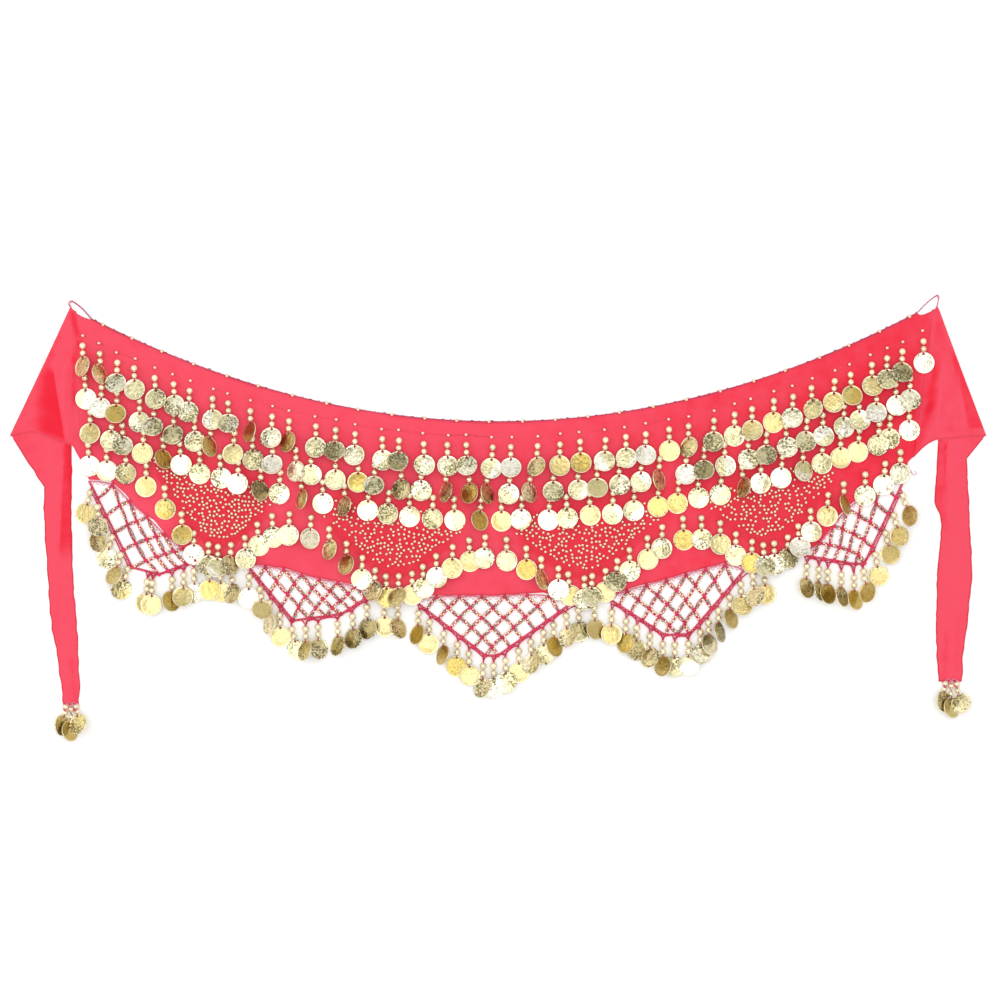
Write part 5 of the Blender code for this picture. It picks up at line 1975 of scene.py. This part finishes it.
def build_net(number, net, thread, bead):
    """Diamond net of two-ply thread with seed beads on its sides and knots at its crossings."""
    batch = Batch()
    maker = random.Random(40 + number)
    rows = range(net.depth + 1)
    places = [(across, down) for down in rows for across in range(net.meshes - down + 1)]
    knots = {place: net_knot(net, *place) for place in places}
    for (across, down), knot in knots.items():
        inner = 0 < across < net.meshes - down
        if inner and down < net.depth:
            add_mesh_side(batch, knot, knots[across, down + 1], maker)
            add_mesh_side(batch, knot, knots[across - 1, down + 1], maker)
        if down or inner:
            size = KNOT_INNER if inner else KNOT_OUTER
            colour = CRIMSON if maker.random() < KNOT_CRIMSON_SHARE else DEEP_CRIMSON
            add_knot(batch, (*knot, KNOT_SQUASH * size + FLOOR_SPARE), size, colour)
    for across in range(net.meshes):
        add_hem_loops(batch, knots[across, 0], knots[across + 1, 0])
    left = [knots[0, down] for down in rows]
    foot = [knots[across, net.depth] for across in range(1, net.meshes - net.depth)]
    right = [knots[net.meshes - down, down] for down in reversed(rows)]
    add_chain(batch, left + foot + right, NET_OUTLINE_LEVEL, NET_OUTLINE, CRIMSON)
    item = batch.build(f"net_{number}_crochet", [thread, bead])
    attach(item, "root")
    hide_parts(f"net_{number}")
    return item


def add_picots(threads, fringe, drops):
    """V-shaped threads from the outer chain to each strand, and loops from strand to strand."""
    chain = fringe_chain(fringe)
    length = path_length(chain)
    steps = [length * part / CHAIN_PARTS for part in range(CHAIN_PARTS + 1)]
    for drop in drops:
        gaps = [math.dist(point_along(chain, step)[0], drop.root) for step in steps]
        nearest = steps[gaps.index(min(gaps))]
        top = drop.beads[0] - np.array((*drop.hang, 0.0)) * BEAD_RADII[0]
        for step in (-PICOT_SPREAD, PICOT_SPREAD):
            distance = min(max(nearest + step, 0.0), length - CHAIN_END)
            place, _ = point_along(chain, distance)
            bend = mix_point(place, top[:2], PICOT_BEND)
            line = [(*place, PICOT_LEVELS[0]), (*bend, PICOT_LEVELS[1]), top]
            add_ply(threads, rounded(line, parts=3), PICOT_PLY, CRIMSON)
    for one, other in zip(drops, drops[1:]):
        ends = [np.array((*drop.root, SWAG_LEVEL)) for drop in (one, other)]
        if math.dist(*ends) < SWAG_REACH:
            low = (ends[0] + ends[1]) / 2 + np.array(SWAG_RISE)
            add_ply(threads, rounded([ends[0], low, ends[1]], parts=5), SWAG_PLY, CRIMSON)


def add_foot_crochet(threads, line):
    """Crochet loops that hold a strap's coins, on and below its end."""
    for drop in line:
        x, y = drop.root
        for side, colour in ((-1.0, CRIMSON), (1.0, PALE_PINK)):
            loop = [(x + side * across, y + up, z) for across, up, z in FOOT_LOOP]
            add_ply(threads, rounded(loop, parts=4), FOOT_PLY, colour)
    up, level = FOOT_LINK
    for one, other in zip(line, line[1:]):
        start, end = [(drop.root[0], drop.root[1] + up, level) for drop in (one, other)]
        middle = ((start[0] + end[0]) / 2, start[1] + FOOT_LINK_RISE[0], level + FOOT_LINK_RISE[1])
        add_ply(threads, rounded([start, middle, end], parts=4), FOOT_PLY, PINK)


def add_row_thread(threads, line):
    """Running thread that links the strands of a row on the cloth."""
    if len(line) > 1:
        roots = [drop.root for drop in line]
        points = [(x, y, cloth_top(x, y) + ROW_THREAD_LIFT) for x, y in roots]
        add_thread(threads, points, parts=6, radius=ROW_THREAD, colour=CLOTH_THREAD)


def build_drops(drops, thread, coin, bead):
    maker = random.Random(77)
    fringes = {f"fringe_{fringe.net}_{fringe.side}": fringe for fringe in FRINGES}
    for name, line in drops.items():
        batch = Batch()
        threads = Batch()
        for drop in line:
            add_drop(batch, threads, drop, maker)
        if name in fringes:
            add_picots(threads, fringes[name], line)
        elif name.startswith(("coin_row", "wave_row")):
            add_row_thread(threads, line)
        else:
            add_foot_crochet(threads, line)
        ending = "set" if name.endswith("coins") else "coins"
        item = batch.build(f"{name}_{ending}", [coin, bead])
        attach(item, "root")
        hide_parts(name)
        cotton = threads.build(f"{name}_thread", [thread])
        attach(cotton, "root")


# ------------------------------------------------------------------ seed beads on the cloth


def seed_fits(place, drops):
    """True if a seed bead on the cloth stays below the coins and clear of the round beads."""
    top = cloth_top(*place) + SEED_LIFT + SEED_RADIUS
    for drop in drops:
        if math.dist(drop.centre[:2], place) > DROP_LENGTH + COIN_RADIUS:
            continue
        inside, heights = drop.within(np.array([place]), SEED_RADIUS)
        if inside[0] and heights[0] - SEED_UNDER_COIN < top:
            return False
        if any(math.dist(bead[:2], place) < BEAD_RADII[0] + SEED_RADIUS for bead in drop.beads):
            return False
    return True


def fan_places(ridge, following, maker, drops):
    """Places scattered over a beaded fan, no two of them close together."""
    width = following.x - ridge.x
    count = round(width * ridge.fan_depth / SEED_AREA)
    places = []
    for _ in range(count * SEED_TRIES):
        if len(places) == count:
            break
        x = ridge.x + SEED_SIDE + maker.random() * (width - 2 * SEED_SIDE)
        low, high = wave_y(x) + SEED_BELOW, row_y(ROWS[2], x) - SEED_TOP
        y = low + maker.random() * width * SEED_SPREAD
        near = any(math.dist((x, y), place) < SEED_SPARE for place in places)
        in_fan = fan_depth(x)[0] > SEED_SHARE and y < high
        if in_fan and not near and seed_fits((x, y), drops):
            places.append((x, y))
    return places


def add_row_seeds(batch, drops, maker):
    """Seed beads above a row, each with a stitch, and a chain from one to the next."""
    line = []
    x_stray, y_stray = ROW_SEED_STRAY
    for drop in drops:
        x = drop.root[0] + maker.uniform(-x_stray, x_stray)
        y = drop.root[1] + ROW_SEED_ABOVE + maker.uniform(-y_stray, y_stray)
        z = cloth_top(x, y)
        line.append((x, y, z + ROW_CHAIN_LIFT))
        centre = (x, y, z + ROW_SEED_LIFT)
        add_seed(batch, centre, ROW_SEED_TURN, 0, SEED_CREAM, ROW_SEED_RADIUS)
        stitch = [(x + across, y + up, z + rise) for across, up, rise in ROW_STITCH]
        add_thread(batch, stitch, 3, ROW_STITCH_RADIUS, DEEP_CRIMSON, slot=1)
    for start, end in zip(line, line[1:]):
        add_chain(batch, (start[:2], end[:2]), start[2], ROW_CHAIN, CLOTH_THREAD, slot=1)


def build_seeds(bead, thread, drops):
    """Seed beads above the first row of strands and all over the fans."""
    batch = Batch()
    maker = random.Random(9)
    first_row = [line for name, line in drops.items() if name.startswith(ROWS[0].name)]
    add_row_seeds(batch, sum(first_row, []), maker)
    starts = ("coin_row_3", "wave_row")
    hung = sum((line for name, line in drops.items() if name.startswith(starts)), [])
    for ridge, following in zip(RIDGES, RIDGES[1:]):
        if not ridge.fan_depth:
            continue
        for x, y in fan_places(ridge, following, maker, hung):
            turn = maker.uniform(0.0, math.pi)
            direction = (math.cos(turn), math.sin(turn))
            add_seed(batch, (x, y, cloth_top(x, y) + SEED_LIFT), direction, 0, SEED_CREAM)
    item = batch.build("seed_beads", [bead, thread])
    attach(item, "root")
    return item


# ------------------------------------------------------------------ studio


def build_floor():
    mesh = bpy.data.meshes.new("floor")
    corners = [(x * FLOOR_HALF, y * FLOOR_HALF, 0) for x, y in ((-1, -1), (1, -1), (1, 1), (-1, 1))]
    mesh.from_pydata(corners, [], [(0, 1, 2, 3)])
    shade = Shade("white_floor")
    shade.set(Base_Color=FLOOR_WHITE, Roughness=0.9, Specular_IOR_Level=0.0)
    mesh.materials.append(shade.material)
    floor = bpy.data.objects.new("floor", mesh)
    bpy.context.scene.collection.objects.link(floor)


def add_softbox(box):
    """A square light that looks at the origin."""
    light = bpy.data.lights.new(box.name, "AREA")
    light.shape = "RECTANGLE"
    light.size = light.size_y = box.side
    light.energy = box.radiance * math.pi * box.side * box.side
    item = bpy.data.objects.new(box.name, light)
    item.location = box.place
    item.rotation_mode = "QUATERNION"
    item.rotation_quaternion = (-Vector(box.place)).to_track_quat("-Z", "Y")
    item.visible_camera = False
    bpy.context.scene.collection.objects.link(item)


def build_studio():
    world = bpy.data.worlds.new("studio")
    world.use_nodes = True
    background = world.node_tree.nodes["Background"]
    background.inputs["Color"].default_value = (1.0, 1.0, 1.0, 1.0)
    background.inputs["Strength"].default_value = WORLD_LIGHT
    bpy.context.scene.world = world
    bpy.context.scene.view_settings.view_transform = "Standard"
    for box in SOFTBOXES:
        add_softbox(box)


def build_camera():
    camera = bpy.data.cameras.new("camera")
    camera.lens = CAMERA_LENS
    camera.sensor_width = CAMERA_SENSOR
    camera.clip_start = CAMERA_NEAR
    item = bpy.data.objects.new("camera", camera)
    item.location = CAMERA_PLACE
    bpy.context.scene.collection.objects.link(item)
    bpy.context.scene.camera = item


# ------------------------------------------------------------------ whole scene


def main():
    build_camera()
    chiffon = make_chiffon()
    thread = make_thread()
    coin = make_coin_metal()
    bead = make_bead_metal()
    hems = Batch()
    panel = build_panel(chiffon, hems)
    left = build_tie("tie_left", "left_tie", LEFT_TIE, left_tint, chiffon, hems)
    right = build_tie("tie_right", "right_tie", RIGHT_TIE, right_tint, chiffon, hems)
    rolled = hems.build("rolled_hems", [chiffon])
    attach(rolled, "root")
    build_edging(thread, bead)
    for number, net in enumerate(NETS, start=1):
        build_net(number, net, thread, bead)
    drops = plan_drops()
    build_drops(drops, thread, coin, bead)
    build_seeds(bead, thread, drops)
    build_floor()
    build_studio()


main()
